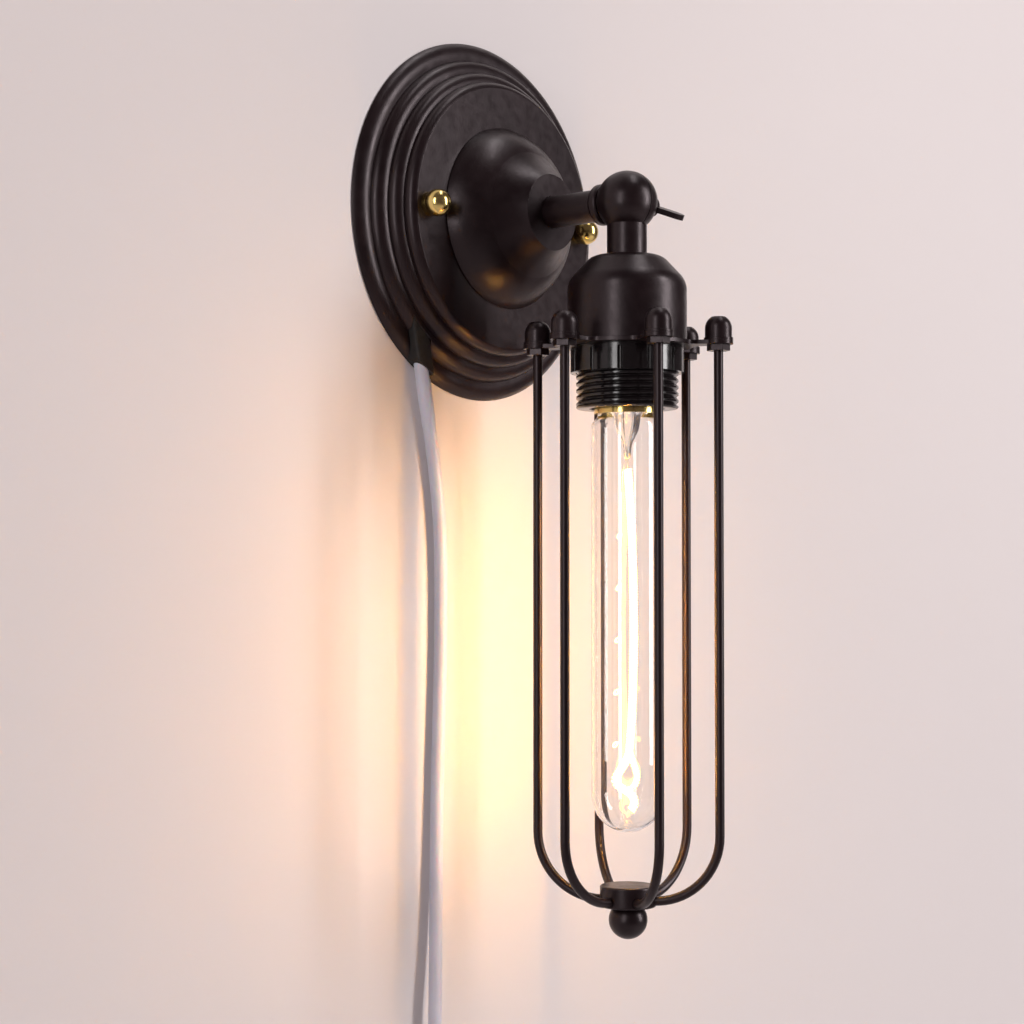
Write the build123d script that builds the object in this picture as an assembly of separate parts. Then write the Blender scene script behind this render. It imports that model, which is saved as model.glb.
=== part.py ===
from build123d import *
import math
import os

# Caged wall lamp, millimetres. The wall is the plane Y = 0 and the lamp stands out along -Y.
# Z is up. The origin is the centre of the round wall plate, on the wall.
os.makedirs("parts", exist_ok=True)

# ---- wall plate: a pressed sheet with rolled steps and a flat ring ----
PLATE_RADIUS = 75.0
STEP_WIDTHS = (7.6, 5.8, 4.6, 2.8)
STEP_RISES = (3.2, 4.2, 4.6, 4.4)
PLATE_SHEET = 1.0
RING_WIDTH = 16.6
BELL_SEAT_GAP = 0.3
BELL_HEIGHT = 24.7
BELL_NOSE_RADIUS = 15.6
BELL_SHEET = 1.2

# ---- fixing: steel bar on the wall, two studs and two brass ball nuts ----
STUD_INSET = 6.9
STUD_RADIUS = 2.0
STUD_CLEARANCE = 0.25
STUD_NUT_ACROSS_FLATS = 7.0
STUD_NUT_HEIGHT = 3.2
BALL_NUT_RADIUS = 5.5
BALL_NUT_CENTRE = 4.5
BALL_NUT_BASE_RADIUS = 4.9
BAR_WIDTH = 16.0
BAR_THICKNESS = 1.6
BAR_END_MARGIN = 8.0
BAR_DISC_RADIUS = 24.0
SLOT_INSET = 17.3
SLOT_LENGTH = 12.0
SLOT_RADIUS = 2.2
BLOCK_SIZE = (20.0, 10.0, 11.0)
BLOCK_DROP = 17.0
BLOCK_WELL_OFFSET = 5.0
BLOCK_WELL_RADIUS = 2.4
BLOCK_WELL_DEPTH = 4.0
CLAMP_SCREW_RADIUS = 2.0
CLAMP_SCREW_HEIGHT = 2.6
SCREW_SLOT = (0.7, 0.9)
CORE_RADIUS = 1.1
CORE_SPREAD = 1.3

# ---- arm ----
ARM_REACH = 79.5
TUBE_RADIUS = 6.5
TUBE_BORE_RADIUS = 5.0
TUBE_BACK_HEIGHT = 8.0
NUT_ACROSS_FLATS = 19.0
NUT_HEIGHT = 5.0
LEAD_RADIUS = 1.0
LEAD_OFFSET = 1.6
LEAD_SPREAD = 1.3
LEAD_BEND = 4.0
LEAD_ROOM = 1.2
LEAD_START = 0.6
LEAD_DROP = 1.2
LEAD_RISE = 4.0
HOLDER_LEAD_BENDS = [2.5, 2.0]
LEAD_HEIGHTS = (3.6, 6.2)

# ---- ball joint: two half balls clamped by a wing screw ----
BALL_RADIUS = 12.2
BALL_WALL = 4.4
JOINT_GAP = 0.3
SEAM_GAP = 0.2
HUB_RADIUS = 8.3
HUB_SINK = 2.4
HUB_SHOW = 2.0
HUB_FLOOR = 0.5
HUB_ROUND = 1.5
NECK_RADIUS = 7.95
NECK_BORE_RADIUS = 3.4
NECK_BORE_SINK = 2.0
NIPPLE_END = 0.5
SCREW_RADIUS = 2.5
SCREW_FIT = 0.05
SCREW_BOSS_RADIUS = 4.2
SPOT_DEPTH = 1.4
SCREW_TIP_INSET = 5.0
SCREW_BOSS_INSET = 1.5
WING_HUB_RADIUS = 4.2
WING_HUB_LENGTH = 5.4
WING_LENGTH = 15.5
WING_BREADTH = 9.0
WING_THICKNESS = 2.2
WING_ROLL = -24.0
WING_SPLAY = 45.0

# ---- cup and lampholder, measured down from the ball's centre ----
NECK_LENGTH = 9.6
CUP_HEIGHT = 34.6
CUP_ROOM = 3.4
CUP_SHOULDER_WIDTH = 9.6
CUP_SHOULDER = 10.4
CUP_ROUNDS = [7.0, 9.0]
CUP_SHEET = 1.2
NIPPLE_RADIUS = 4.9
NIPPLE_CLEARANCE = 0.15
CUP_NUT_ACROSS_FLATS = 15.0
CUP_NUT_HEIGHT = 3.2
HOLDER_CAP_GAP = 3.0
HOLDER_CAP_HEIGHT = 14.0
HOLDER_RADIUS = 20.3
HOLDER_WALL = 3.0
HOLDER_FLANGE_LIP = 1.7
HOLDER_FLANGE = 2.0
THREAD_PITCH = 2.7
THREAD_DEPTH = 1.0
THREAD_TURNS = 5
SHADE_RING_WALL = 2.2
SHADE_RING_FLUTE_RADIUS = 0.9
SHADE_RING_RIM = 1.6
SHADE_RING_HEIGHT = 10.5
SHADE_RING_FLUTES = 12
HOLDER_SKIRT = 14.2
SHELL_RADIUS = 14.5
SHELL_WALL = 0.5
INSERT_HEIGHT = 8.0
INSERT_RISE = 2.0
INSERT_FIT = 0.1
INSERT_INSET = 0.6
CONTACT_WELL_RADIUS = 3.2
CONTACT_WELL_DEPTH = 3.0
CONTACT_RADIUS = 2.0
CONTACT_HEAD_RADIUS = 3.0
CONTACT_HEAD = 1.2
POST_OFFSET = 7.0
POST_RADIUS = 2.6
POST_HEIGHT = 5.0
POST_STEM_RADIUS = 1.3
POST_HOLE_RADIUS = 1.4
SHELL_LIP = 1.6

# ---- bulb: a long tube with a screw cap ----
BULB_CAP_RADIUS = 13.2
BULB_CAP_LENGTH = 24.0
BULB_CAP_PITCH = 3.6
BULB_CAP_SHOW = 2.1
BULB_CAP_WALL = 1.4
BULB_CAP_TOP_RADIUS = 9.0
BULB_CAP_TURNS = 4
BULB_CAP_PLAIN = 7.0
BULB_INSULATOR = 2.0
BULB_TIP = 1.0
BULB_TIP_RADIUS = 4.2
GLASS_RADIUS = 14.3
GLASS_WALL = 0.9
GLASS_FIT = 0.1
BULB_TIP_GAP = 20.8
STEM_FLARE = 12.0
STEM_LENGTH = 12.0
STEM_RADIUS = 2.4
FILAMENT_RADIUS = 0.5
FILAMENT_SPREAD = 1.8
FILAMENT_DROP = 3.0
FILAMENT_TIP_GAP = 14.5
SUPPORT_RADIUS = 0.45

# ---- cage: a six-armed plate, six bent wires, cap nuts, a collar and a ball ----
WIRE_COUNT = 6
WIRE_TURN = -3.7
WIRE_RADIUS = 1.85
WIRE_FIT = 0.1
WIRE_STANDOFF = 12.8
CAGE_DEPTH = 220.0
WIRE_BEND = 26.0
CAGE_PLATE = 1.6
CAGE_PLATE_LIP = 2.8
CAGE_ARM_WIDTH = 9.5
CAGE_ARM_END = 5.75
CAP_NUT_RADIUS = 5.3
CAP_NUT_FLANGE_RADIUS = 5.75
CAP_NUT_FLANGE = 1.0
CAP_NUT_HEIGHT = 9.3
CAP_NUT_DEPTH = 6.0
LOCK_NUT_ACROSS_FLATS = 8.0
LOCK_NUT_HEIGHT = 2.5
COLLAR_RADIUS = 11.1
COLLAR_HEIGHT = 8.4
COLLAR_BELOW_WIRE = 2.5
COLLAR_WALL_HOLD = 4.5
FINIAL_RADIUS = 7.65
FINIAL_SINK = 5.1
FINIAL_STUD_RADIUS = 2.45
FINIAL_STUD_LENGTH = 6.4

# ---- mains cord: exit at the plate's lower left rim, then down the wall ----
CORD_RADIUS = 2.75
CORD_WALL_GAP = 0.3
EXIT_ANGLE = 239.5
EXIT_LEAN = 11.7
RELIEF_RADIUS = 3.1
RELIEF_LENGTH = 24.0
RELIEF_TAIL_RADIUS = 2.85
RELIEF_NECK_RADIUS = 2.85
RELIEF_START = 4.6
GROMMET_WIDTH = 8.6
GROMMET_HEIGHT = 7.1
GROMMET_ROUND = 1.4
GROMMET_DEPTH = 24.0
GROMMET_FIT = 0.1
SWITCH_WIDTH = 24.0
SWITCH_DEPTH = 12.0
SWITCH_ROUND = 2.4
SWITCH_BODY = 44.0
SWITCH_NOSE = 7.0
SWITCH_NOSE_RADIUS = 4.8
SWITCH_PLACE = (-32.6, -346.0)
ROCKER_WIDTH = 9.0
ROCKER_LENGTH = 17.0
ROCKER_RISE = 2.2
ROCKER_DIP = 0.9
ROCKER_DEPTH = 2.6
ROCKER_GAP = 0.4
ROCKER_TILT = 9.0
ROCKER_PIVOT_RADIUS = 1.2
COIL_CENTRE = (-18.0, -474.0)
COIL_BACK = 2.1
COIL_INNER_RADIUS = 21.0
COIL_OUTER_RADIUS = 43.8
COIL_THICKNESS = 10.9
COIL_LEAD_RADIUS = 40.8
COIL_END_RADIUS = 38.0
TIE_ANGLE = 72.0
TIE_WIDTH = 9.0
TIE_SHEET = 1.2
TIE_FIT = 0.6
PLUG_TOP = -503.0
PLUG_NOSE = 12.0
PLUG_NOSE_RADIUS = 4.6
PLUG_LENGTH = 28.0
PLUG_WIDTH = 26.0
PLUG_DEPTH = 16.0
BLADE_LENGTH = 16.5
BLADE_WIDTH = 6.3
BLADE_THICKNESS = 1.5
BLADE_SPREAD = 6.35

# ---- places that follow from the sizes above ----
CORD_Y = -(CORD_WALL_GAP + CORD_RADIUS)
EXIT_Y = -(CORD_WALL_GAP + RELIEF_RADIUS)
BALL_CAVITY_RADIUS = BALL_RADIUS - BALL_WALL
HUB_FRONT = BALL_RADIUS - HUB_SINK
HUB_BACK = BALL_RADIUS + HUB_SHOW
HUB_SEAT = BALL_RADIUS + HUB_FLOOR
SPOT_FACE = BALL_RADIUS - SPOT_DEPTH
SCREW_TIP = BALL_RADIUS - SCREW_TIP_INSET
CUP_DROP = BALL_RADIUS + NECK_LENGTH
CUP_RADIUS = HOLDER_RADIUS + CUP_ROOM
CUP_TOP_RADIUS = CUP_RADIUS - CUP_SHOULDER_WIDTH
CAGE_RADIUS = CUP_RADIUS + WIRE_STANDOFF
CAGE_PLATE_RADIUS = CUP_RADIUS + CAGE_PLATE_LIP
RING_HEIGHT = sum(STEP_RISES)
RING_RADIUS = PLATE_RADIUS - sum(STEP_WIDTHS)
BELL_RADIUS = RING_RADIUS - RING_WIDTH
STUD_OFFSET = RING_RADIUS - STUD_INSET
BELL_TOP = RING_HEIGHT + BELL_HEIGHT
CUP_RIM = -(CUP_DROP + CUP_HEIGHT)
HOLDER_TOP = -CUP_DROP - CUP_SHEET - CUP_NUT_HEIGHT - HOLDER_CAP_GAP
HOLDER_JOIN = HOLDER_TOP - HOLDER_CAP_HEIGHT
PLATE_UNDER = CUP_RIM - CAGE_PLATE
HOLDER_FOOT = PLATE_UNDER - SHADE_RING_HEIGHT - HOLDER_SKIRT
GLASS_TOP = HOLDER_FOOT - BULB_CAP_SHOW
INSERT_LOW = CUP_RIM + INSERT_RISE
POST_TOP = INSERT_LOW + INSERT_HEIGHT + POST_HEIGHT
CONTACT_Z = GLASS_TOP + BULB_CAP_LENGTH + BULB_INSULATOR + BULB_TIP
WIRE_FLOOR = CUP_RIM - CAGE_DEPTH
COLLAR_FOOT = WIRE_FLOOR - COLLAR_BELOW_WIRE
COLLAR_TOP = COLLAR_FOOT + COLLAR_HEIGHT
GLASS_TIP = COLLAR_TOP + BULB_TIP_GAP
WIRE_ANGLES = [360 / WIRE_COUNT * k + WIRE_TURN for k in range(WIRE_COUNT)]


def wall_turned(outline):
    """A solid turned about the plate's axis, from an outline of (radius, height off the wall)."""
    return revolve(outline, Axis.Y)


def wall_disc(radius, low, high, x=0.0, z=0.0):
    """A round disc or rod square to the wall, between two heights off the wall."""
    face = Plane(origin=(x, -low, z), x_dir=(1, 0, 0), z_dir=(0, -1, 0)) * Circle(radius)
    return extrude(face, high - low)


def wall_prism(sketch, low, high, x=0.0, z=0.0):
    """A prism square to the wall, from a flat outline drawn in X and Z."""
    face = Plane(origin=(x, -low, z), x_dir=(1, 0, 0), z_dir=(0, -1, 0)) * sketch
    return extrude(face, high - low)


def rod(radius, low, high, x=0.0, y=0.0):
    """An upright rod between two heights."""
    return Pos(x, y, low) * extrude(Circle(radius), high - low)


def ring(outer, inner, low, high, x=0.0, y=0.0):
    """An upright ring between two heights."""
    return rod(outer, low, high, x, y) - rod(inner, low - 1, high + 1, x, y)


def prism(sketch, low, high):
    """An upright prism between two heights."""
    return Pos(0, 0, low) * extrude(sketch, high - low)


def hexagon(across_flats):
    """A six-sided outline of a nut."""
    return RegularPolygon(across_flats / 2, 6, major_radius=False)


def turned(*lines):
    """A solid turned about the Z axis, from lines drawn in X and Z that close an outline."""
    return revolve(Plane.XZ * make_face(list(lines)), Axis.Z)


def save(shape, node, place=None):
    """Write one piece, moved to its place, as its own file."""
    if place is not None:
        shape = place * shape
    shape.label = node
    export_step(shape, f"parts/{node}.step")


AT_BALL = Pos(0, -ARM_REACH, 0)
STANDING = (Align.CENTER, Align.CENTER, Align.MIN)


# ---- wall plate and bell ----
def plate_edge(shift):
    """The rolled steps from the rim to the flat ring, moved towards the axis and the wall by shift."""
    radius = PLATE_RADIUS - shift
    height = -shift
    arcs = []
    for width, rise in zip(STEP_WIDTHS, STEP_RISES):
        middle = (radius - 0.27 * width, -height - 0.68 * rise)
        arcs.append(ThreePointArc((radius, -height), middle, (radius - width, -height - rise)))
        radius -= width
        height += rise
    return arcs, radius, height


def wall_plate():
    outer, outer_radius, outer_height = plate_edge(0.0)
    inner, inner_radius, inner_height = plate_edge(PLATE_SHEET)
    hole = TUBE_RADIUS + NIPPLE_CLEARANCE
    front = Polyline(
        (outer_radius, -outer_height),
        (hole, -outer_height),
        (hole, -inner_height),
        (inner_radius, -inner_height),
    )
    foot = Line((PLATE_RADIUS - PLATE_SHEET, PLATE_SHEET), (PLATE_RADIUS, 0))
    plate = wall_turned(make_face(outer + inner + [front, foot]))
    plate -= wall_disc(PLATE_RADIUS * 2, -PLATE_SHEET * 2, 0)
    for side in (-1, 1):
        hole = STUD_RADIUS + STUD_CLEARANCE
        plate -= wall_disc(hole, 0, RING_HEIGHT + 1, x=side * STUD_OFFSET)
    return plate - notch_block(0.0)


def bell():
    """The spun bell on the flat ring: convex low down, hollowed a little towards its flat nose."""
    low = RING_HEIGHT + BELL_SEAT_GAP
    waist = (
        BELL_NOSE_RADIUS + 0.47 * (BELL_RADIUS - BELL_NOSE_RADIUS),
        low + 0.56 * (BELL_TOP - low),
    )

    def outline(shift):
        foot = BELL_RADIUS - shift
        top = BELL_TOP - shift
        lower = ThreePointArc(
            (foot, -low),
            (waist[0] + 0.66 * (foot - waist[0]), -low - 0.50 * (waist[1] - low)),
            (waist[0] - shift, -waist[1] + shift),
        )
        upper = ThreePointArc(
            (waist[0] - shift, -waist[1] + shift),
            ((waist[0] + BELL_NOSE_RADIUS) / 2 - 0.9 - shift, -(waist[1] + top) / 2),
            (BELL_NOSE_RADIUS - shift, -top),
        )
        return lower, upper

    outer = outline(0.0)
    inner = outline(BELL_SHEET)
    hole = TUBE_RADIUS + NIPPLE_CLEARANCE
    nose = Polyline(
        (BELL_NOSE_RADIUS, -BELL_TOP),
        (hole, -BELL_TOP),
        (hole, -BELL_TOP + BELL_SHEET),
        (BELL_NOSE_RADIUS - BELL_SHEET, -BELL_TOP + BELL_SHEET),
    )
    foot = Line((BELL_RADIUS - BELL_SHEET, -low), (BELL_RADIUS, -low))
    return wall_turned(make_face([*outer, *inner, nose, foot]))


# ---- fixing ----
def mounting_bar():
    length = 2 * (STUD_OFFSET + BAR_END_MARGIN)
    outline = SlotOverall(length, BAR_WIDTH) + Circle(BAR_DISC_RADIUS)
    for side in (-1, 1):
        outline -= Pos(side * STUD_OFFSET, 0) * Circle(STUD_RADIUS + SCREW_FIT)
        outline -= Pos(side * (STUD_OFFSET - SLOT_INSET), 0) * SlotOverall(SLOT_LENGTH, 2 * SLOT_RADIUS)
    return wall_prism(outline, 0, BAR_THICKNESS)


def studs():
    """Two studs from the bar, through the flat ring, into the ball nuts."""
    tip = RING_HEIGHT + BALL_NUT_CENTRE
    return Compound([wall_disc(STUD_RADIUS, 0.2, tip, x=side * STUD_OFFSET) for side in (-1, 1)])


def stud_nuts():
    """Hex nuts that lock the studs on the bar."""
    low = BAR_THICKNESS
    flat = hexagon(STUD_NUT_ACROSS_FLATS) - Circle(STUD_RADIUS + SCREW_FIT)
    high = low + STUD_NUT_HEIGHT
    return Compound([wall_prism(flat, low, high, x=side * STUD_OFFSET) for side in (-1, 1)])


def ball_nut(x):
    """A polished ball nut on a short round base, with a blind hole for the stud."""
    centre = RING_HEIGHT + BALL_NUT_CENTRE
    nut = Pos(x, -centre, 0) * Sphere(BALL_NUT_RADIUS)
    nut += wall_disc(BALL_NUT_BASE_RADIUS, RING_HEIGHT, centre, x=x)
    nut -= wall_disc(2 * BALL_NUT_RADIUS, 0, RING_HEIGHT, x=x)
    return nut - wall_disc(STUD_RADIUS + SCREW_FIT, RING_HEIGHT, centre + 0.4, x=x)


def terminal_block():
    """A two-way block screwed flat on the bar's disc, with a well over each clamping screw."""
    width, depth, height = BLOCK_SIZE
    top = BAR_THICKNESS + height
    block = wall_prism(Rectangle(width, depth), BAR_THICKNESS, top, z=-BLOCK_DROP)
    for side in (-1, 1):
        x = side * BLOCK_WELL_OFFSET
        block -= wall_disc(BLOCK_WELL_RADIUS, top - BLOCK_WELL_DEPTH, top + 1, x=x, z=-BLOCK_DROP)
    return block


def terminal_screws():
    """The two slotted clamping screws at the foot of the wells."""
    low = BAR_THICKNESS + BLOCK_SIZE[2] - BLOCK_WELL_DEPTH
    high = low + CLAMP_SCREW_HEIGHT
    slot_width, slot_depth = SCREW_SLOT
    screws = []
    for side in (-1, 1):
        x = side * BLOCK_WELL_OFFSET
        screw = wall_disc(CLAMP_SCREW_RADIUS, low, high, x=x, z=-BLOCK_DROP)
        cut = Rectangle(3 * CLAMP_SCREW_RADIUS, slot_width)
        screws.append(screw - wall_prism(cut, high - slot_depth, high + 1, x=x, z=-BLOCK_DROP))
    return Compound(screws)


# ---- arm ----
def arm_tube():
    front = ARM_REACH - HUB_SEAT
    tube = wall_disc(TUBE_RADIUS, TUBE_BACK_HEIGHT, front)
    return tube - wall_disc(TUBE_BORE_RADIUS, 0, front + 1)


def arm_nuts():
    """Three thin nuts on the tube: behind the plate, in front of it, and inside the bell's nose."""
    flat = hexagon(NUT_ACROSS_FLATS) - Circle(TUBE_RADIUS + SCREW_FIT)
    back = RING_HEIGHT - PLATE_SHEET
    nose = BELL_TOP - BELL_SHEET
    spans = ((back - NUT_HEIGHT, back), (RING_HEIGHT, RING_HEIGHT + NUT_HEIGHT), (nose - NUT_HEIGHT, nose))
    return Compound([wall_prism(flat, low, high) for low, high in spans])


def arm_leads():
    """The lamp's two insulated leads, from the terminal block up the tube into the hollow ball."""
    start = -BLOCK_DROP + BLOCK_SIZE[1] / 2
    leads = []
    for side, height in zip((1, -1), LEAD_HEIGHTS):
        z = side * LEAD_SPREAD
        route = FilletPolyline(
            (LEAD_OFFSET, -height, start),
            (LEAD_OFFSET, -height, z),
            (LEAD_OFFSET, -(ARM_REACH - BALL_CAVITY_RADIUS - JOINT_GAP), z),
            radius=LEAD_BEND,
        )
        section = Plane(origin=route @ 0, z_dir=route % 0) * Circle(LEAD_RADIUS)
        leads.append(sweep(section, route))
    return Compound(leads)


# ---- ball joint ----
def half_space():
    """All the room on the -X side of the ball's split, up to the seam."""
    size = 12 * BALL_RADIUS
    return Pos(-size / 2 - SEAM_GAP, 0, 0) * Box(size, size, size)


def half_ball(branch):
    """One hollow half ball on the -X side, with a branch that rounds the other half."""
    own = (Sphere(BALL_RADIUS) + branch) & half_space()
    rest = branch - Sphere(BALL_RADIUS + JOINT_GAP) - half_space()
    return (own + rest) - Sphere(BALL_CAVITY_RADIUS)


def x_rod(radius, low, high):
    """A round rod along X between two places."""
    return Pos(low, 0, 0) * Rot(0, 90, 0) * extrude(Circle(radius), high - low)


def arm_ball_half():
    """The fixed half ball with the round hub that holds the arm tube, made hub down and turned round."""
    hub = rod(HUB_RADIUS, -HUB_BACK, -HUB_FRONT)
    hub = fillet(hub.edges().filter_by(GeomType.CIRCLE), HUB_ROUND)
    shape = half_ball(hub)
    shape -= rod(TUBE_RADIUS + SCREW_FIT, -HUB_BACK - 10, -HUB_SEAT)
    passage = rod(LEAD_OFFSET + LEAD_RADIUS + LEAD_ROOM, -HUB_BACK - 1, -SCREW_BOSS_RADIUS)
    shape -= passage & half_space()
    shape -= x_rod(SCREW_RADIUS + JOINT_GAP, -BALL_RADIUS - 1, 0)
    shape -= Pos(-SPOT_FACE - BALL_RADIUS, 0, 0) * Box(2 * BALL_RADIUS, 2 * BALL_RADIUS, 2 * BALL_RADIUS)
    return Rot(90, 0, 0) * Rot(0, 0, 180) * shape


def head_ball_half():
    """The tilting half ball with the neck that carries the cup, and its threaded nipple."""
    neck = rod(NECK_RADIUS, -CUP_DROP, -NECK_RADIUS)
    shape = half_ball(neck)
    shape += x_rod(SCREW_BOSS_RADIUS, -BALL_RADIUS + SCREW_BOSS_INSET, -SEAM_GAP)
    shape += rod(NIPPLE_RADIUS, HOLDER_TOP - HOLDER_WALL - NIPPLE_END, -CUP_DROP)
    shape -= x_rod(SCREW_RADIUS + SCREW_FIT, -SCREW_TIP - 1, 1)
    split = -BALL_RADIUS + NECK_BORE_SINK
    bore = rod(NECK_BORE_RADIUS, split, -SCREW_BOSS_RADIUS) & half_space()
    return shape - bore - rod(NECK_BORE_RADIUS, HOLDER_JOIN, split)


def wing_screw():
    """The clamping screw: a shank along X, a round hub and two splayed wings."""
    face = SPOT_FACE + 0.1
    screw = x_rod(SCREW_RADIUS, -SCREW_TIP, face + WING_HUB_LENGTH)
    screw += x_rod(WING_HUB_RADIUS, face, face + WING_HUB_LENGTH)
    root = face + WING_HUB_LENGTH / 2
    for side in (-1, 1):
        outline = Pos(WING_LENGTH / 2, 0) * SlotOverall(WING_LENGTH, WING_BREADTH)
        wing = extrude(Plane.XY * outline, WING_THICKNESS / 2, both=True)
        screw += Pos(root, 0, 0) * Rot(-WING_ROLL, 0, 0) * Rot(0, 0, side * WING_SPLAY) * wing
    return screw


# ---- cup and lampholder ----
def cup_outline(shift):
    """Half section of the cup from its top to its rim, moved inwards by shift."""
    top = -CUP_DROP - shift
    side = CUP_RADIUS - shift
    shoulder = (CUP_TOP_RADIUS - 0.4 * shift, top)
    return FilletPolyline(
        (0, top), shoulder, (side, top - CUP_SHOULDER + 0.4 * shift), (side, CUP_RIM), radius=CUP_ROUNDS
    )


def holder_cup():
    outer = cup_outline(0.0)
    inner = cup_outline(CUP_SHEET)
    top = Line((0, -CUP_DROP), (0, -CUP_DROP - CUP_SHEET))
    rim = Line((CUP_RADIUS, CUP_RIM), (CUP_RADIUS - CUP_SHEET, CUP_RIM))
    cup = turned(outer, inner, top, rim)
    return cup - rod(NIPPLE_RADIUS + NIPPLE_CLEARANCE, -CUP_DROP - 5, 0)


def cup_nut():
    high = -CUP_DROP - CUP_SHEET
    flat = hexagon(CUP_NUT_ACROSS_FLATS) - Circle(NIPPLE_RADIUS + SCREW_FIT)
    return prism(flat, high - CUP_NUT_HEIGHT, high)


def lampholder_cap():
    """The moulded cap screwed on the nipple."""
    radius = HOLDER_RADIUS - 1.0
    cap = rod(radius, HOLDER_JOIN, HOLDER_TOP)
    cap = fillet(cap.edges().group_by(Axis.Z)[-1], 3.0)
    cap -= rod(radius - HOLDER_WALL, HOLDER_JOIN - 1, HOLDER_TOP - HOLDER_WALL)
    return cap - rod(NIPPLE_RADIUS + NIPPLE_CLEARANCE, HOLDER_TOP - 10, HOLDER_TOP + 1)


def lampholder_skirt():
    """The moulded body: a flange on the cage plate and a screwed skirt below it."""
    body = rod(HOLDER_RADIUS, HOLDER_FOOT, HOLDER_JOIN)
    body += rod(HOLDER_RADIUS + HOLDER_FLANGE_LIP, CUP_RIM, CUP_RIM + HOLDER_FLANGE)
    body -= rod(HOLDER_RADIUS - HOLDER_WALL, CUP_RIM + 2, HOLDER_JOIN + 1)
    body -= rod(SHELL_RADIUS + SCREW_FIT, HOLDER_FOOT - 1, CUP_RIM + 3)
    half = 0.5 * THREAD_DEPTH
    for turn in range(THREAD_TURNS):
        z = HOLDER_FOOT + 1.9 + turn * THREAD_PITCH
        groove = Polyline(
            (HOLDER_RADIUS + 1, z + half + 1),
            (HOLDER_RADIUS - THREAD_DEPTH, z),
            (HOLDER_RADIUS + 1, z - half - 1),
            close=True,
        )
        body -= turned(groove)
    return chamfer(body.edges().group_by(Axis.Z)[0].filter_by(GeomType.CIRCLE)[-1:], 0.6)


def shade_ring():
    """The screwed ring that clamps the cage plate, fluted so that fingers can turn it."""
    outside = HOLDER_RADIUS + SHADE_RING_WALL
    foot = PLATE_UNDER - SHADE_RING_HEIGHT
    body = ring(outside, HOLDER_RADIUS + NIPPLE_CLEARANCE, foot, PLATE_UNDER)
    flute = rod(SHADE_RING_FLUTE_RADIUS, foot - 1, PLATE_UNDER - SHADE_RING_RIM, x=outside)
    for k in range(SHADE_RING_FLUTES):
        body -= Rot(0, 0, 360 / SHADE_RING_FLUTES * k) * flute
    return body


def contact_insert():
    """The ceramic insert over the screw shell, with a hole for each lead and a well for the contact."""
    high = INSERT_LOW + INSERT_HEIGHT
    puck = rod(SHELL_RADIUS - INSERT_INSET, INSERT_LOW, high)
    for side in (-1, 1):
        puck -= rod(POST_HOLE_RADIUS, INSERT_LOW - 1, high + 1, x=side * POST_OFFSET)
    puck -= rod(CONTACT_WELL_RADIUS, INSERT_LOW - 1, INSERT_LOW + CONTACT_WELL_DEPTH)
    outside = HOLDER_RADIUS - HOLDER_WALL - INSERT_FIT
    inside = SHELL_RADIUS - INSERT_INSET - INSERT_FIT
    return puck + ring(outside, inside, INSERT_LOW, INSERT_LOW + INSERT_RISE)


def centre_contact():
    """The spring contact: a rivet in the insert's well, down to the bulb's tip."""
    top = INSERT_LOW + CONTACT_WELL_DEPTH
    return rod(CONTACT_RADIUS, CONTACT_Z, top) + rod(CONTACT_HEAD_RADIUS, top - CONTACT_HEAD, top)


def screw_shell():
    """The plain brass shell that the bulb screws into."""
    return ring(SHELL_RADIUS, SHELL_RADIUS - SHELL_WALL, HOLDER_FOOT + SHELL_LIP, INSERT_LOW)


def holder_terminals():
    """Two brass terminal posts on the insert, each with a slot."""
    low = INSERT_LOW + INSERT_HEIGHT
    slot_width, slot_depth = SCREW_SLOT
    posts = []
    for side in (-1, 1):
        x = side * POST_OFFSET
        post = rod(POST_RADIUS, low, POST_TOP, x=x) + rod(POST_STEM_RADIUS, INSERT_LOW + 0.5, low, x=x)
        posts.append(post - Pos(x, 0, POST_TOP) * Box(3 * POST_RADIUS, slot_width, 2 * slot_depth))
    return Compound(posts)


def holder_leads():
    """The two leads inside the tilting head, from the hollow ball to the terminals."""
    leads = []
    for side in (-1, 1):
        route = FilletPolyline(
            (-LEAD_OFFSET, side * LEAD_SPREAD, -BALL_CAVITY_RADIUS - LEAD_START),
            (-LEAD_OFFSET, side * LEAD_SPREAD, HOLDER_TOP - HOLDER_WALL - LEAD_DROP),
            (side * POST_OFFSET, side, POST_TOP + LEAD_RISE),
            (side * POST_OFFSET, side, POST_TOP),
            radius=HOLDER_LEAD_BENDS,
        )
        section = Plane(origin=route @ 0, z_dir=route % 0) * Circle(LEAD_RADIUS)
        leads.append(sweep(section, route))
    return Compound(leads)


# ---- bulb ----
def bulb_cap():
    """The brass screw cap with its rolled thread and a cone at its top, hollow for the glass neck."""
    low = GLASS_TOP
    high = GLASS_TOP + BULB_CAP_LENGTH
    cone = BULB_INSULATOR
    body = rod(BULB_CAP_RADIUS, low, high - cone)
    body += Pos(0, 0, high - cone) * Cone(BULB_CAP_RADIUS, BULB_CAP_TOP_RADIUS, cone, align=STANDING)
    for turn in range(BULB_CAP_TURNS):
        z = low + BULB_CAP_PLAIN + turn * BULB_CAP_PITCH
        body -= Pos(0, 0, z) * Torus(BULB_CAP_RADIUS + 0.5, 1.3)
    return body - rod(BULB_CAP_RADIUS - BULB_CAP_WALL, low - 1, high - cone - 0.5)


def bulb_insulator():
    """The black glass button between the cap and its tip."""
    low = GLASS_TOP + BULB_CAP_LENGTH
    button = Cone(BULB_CAP_TOP_RADIUS - 0.4, BULB_TIP_RADIUS + 0.4, BULB_INSULATOR, align=STANDING)
    return Pos(0, 0, low) * button


def bulb_tip_contact():
    """The solder tip of the bulb."""
    return rod(BULB_TIP_RADIUS, CONTACT_Z - BULB_TIP, CONTACT_Z)


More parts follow.
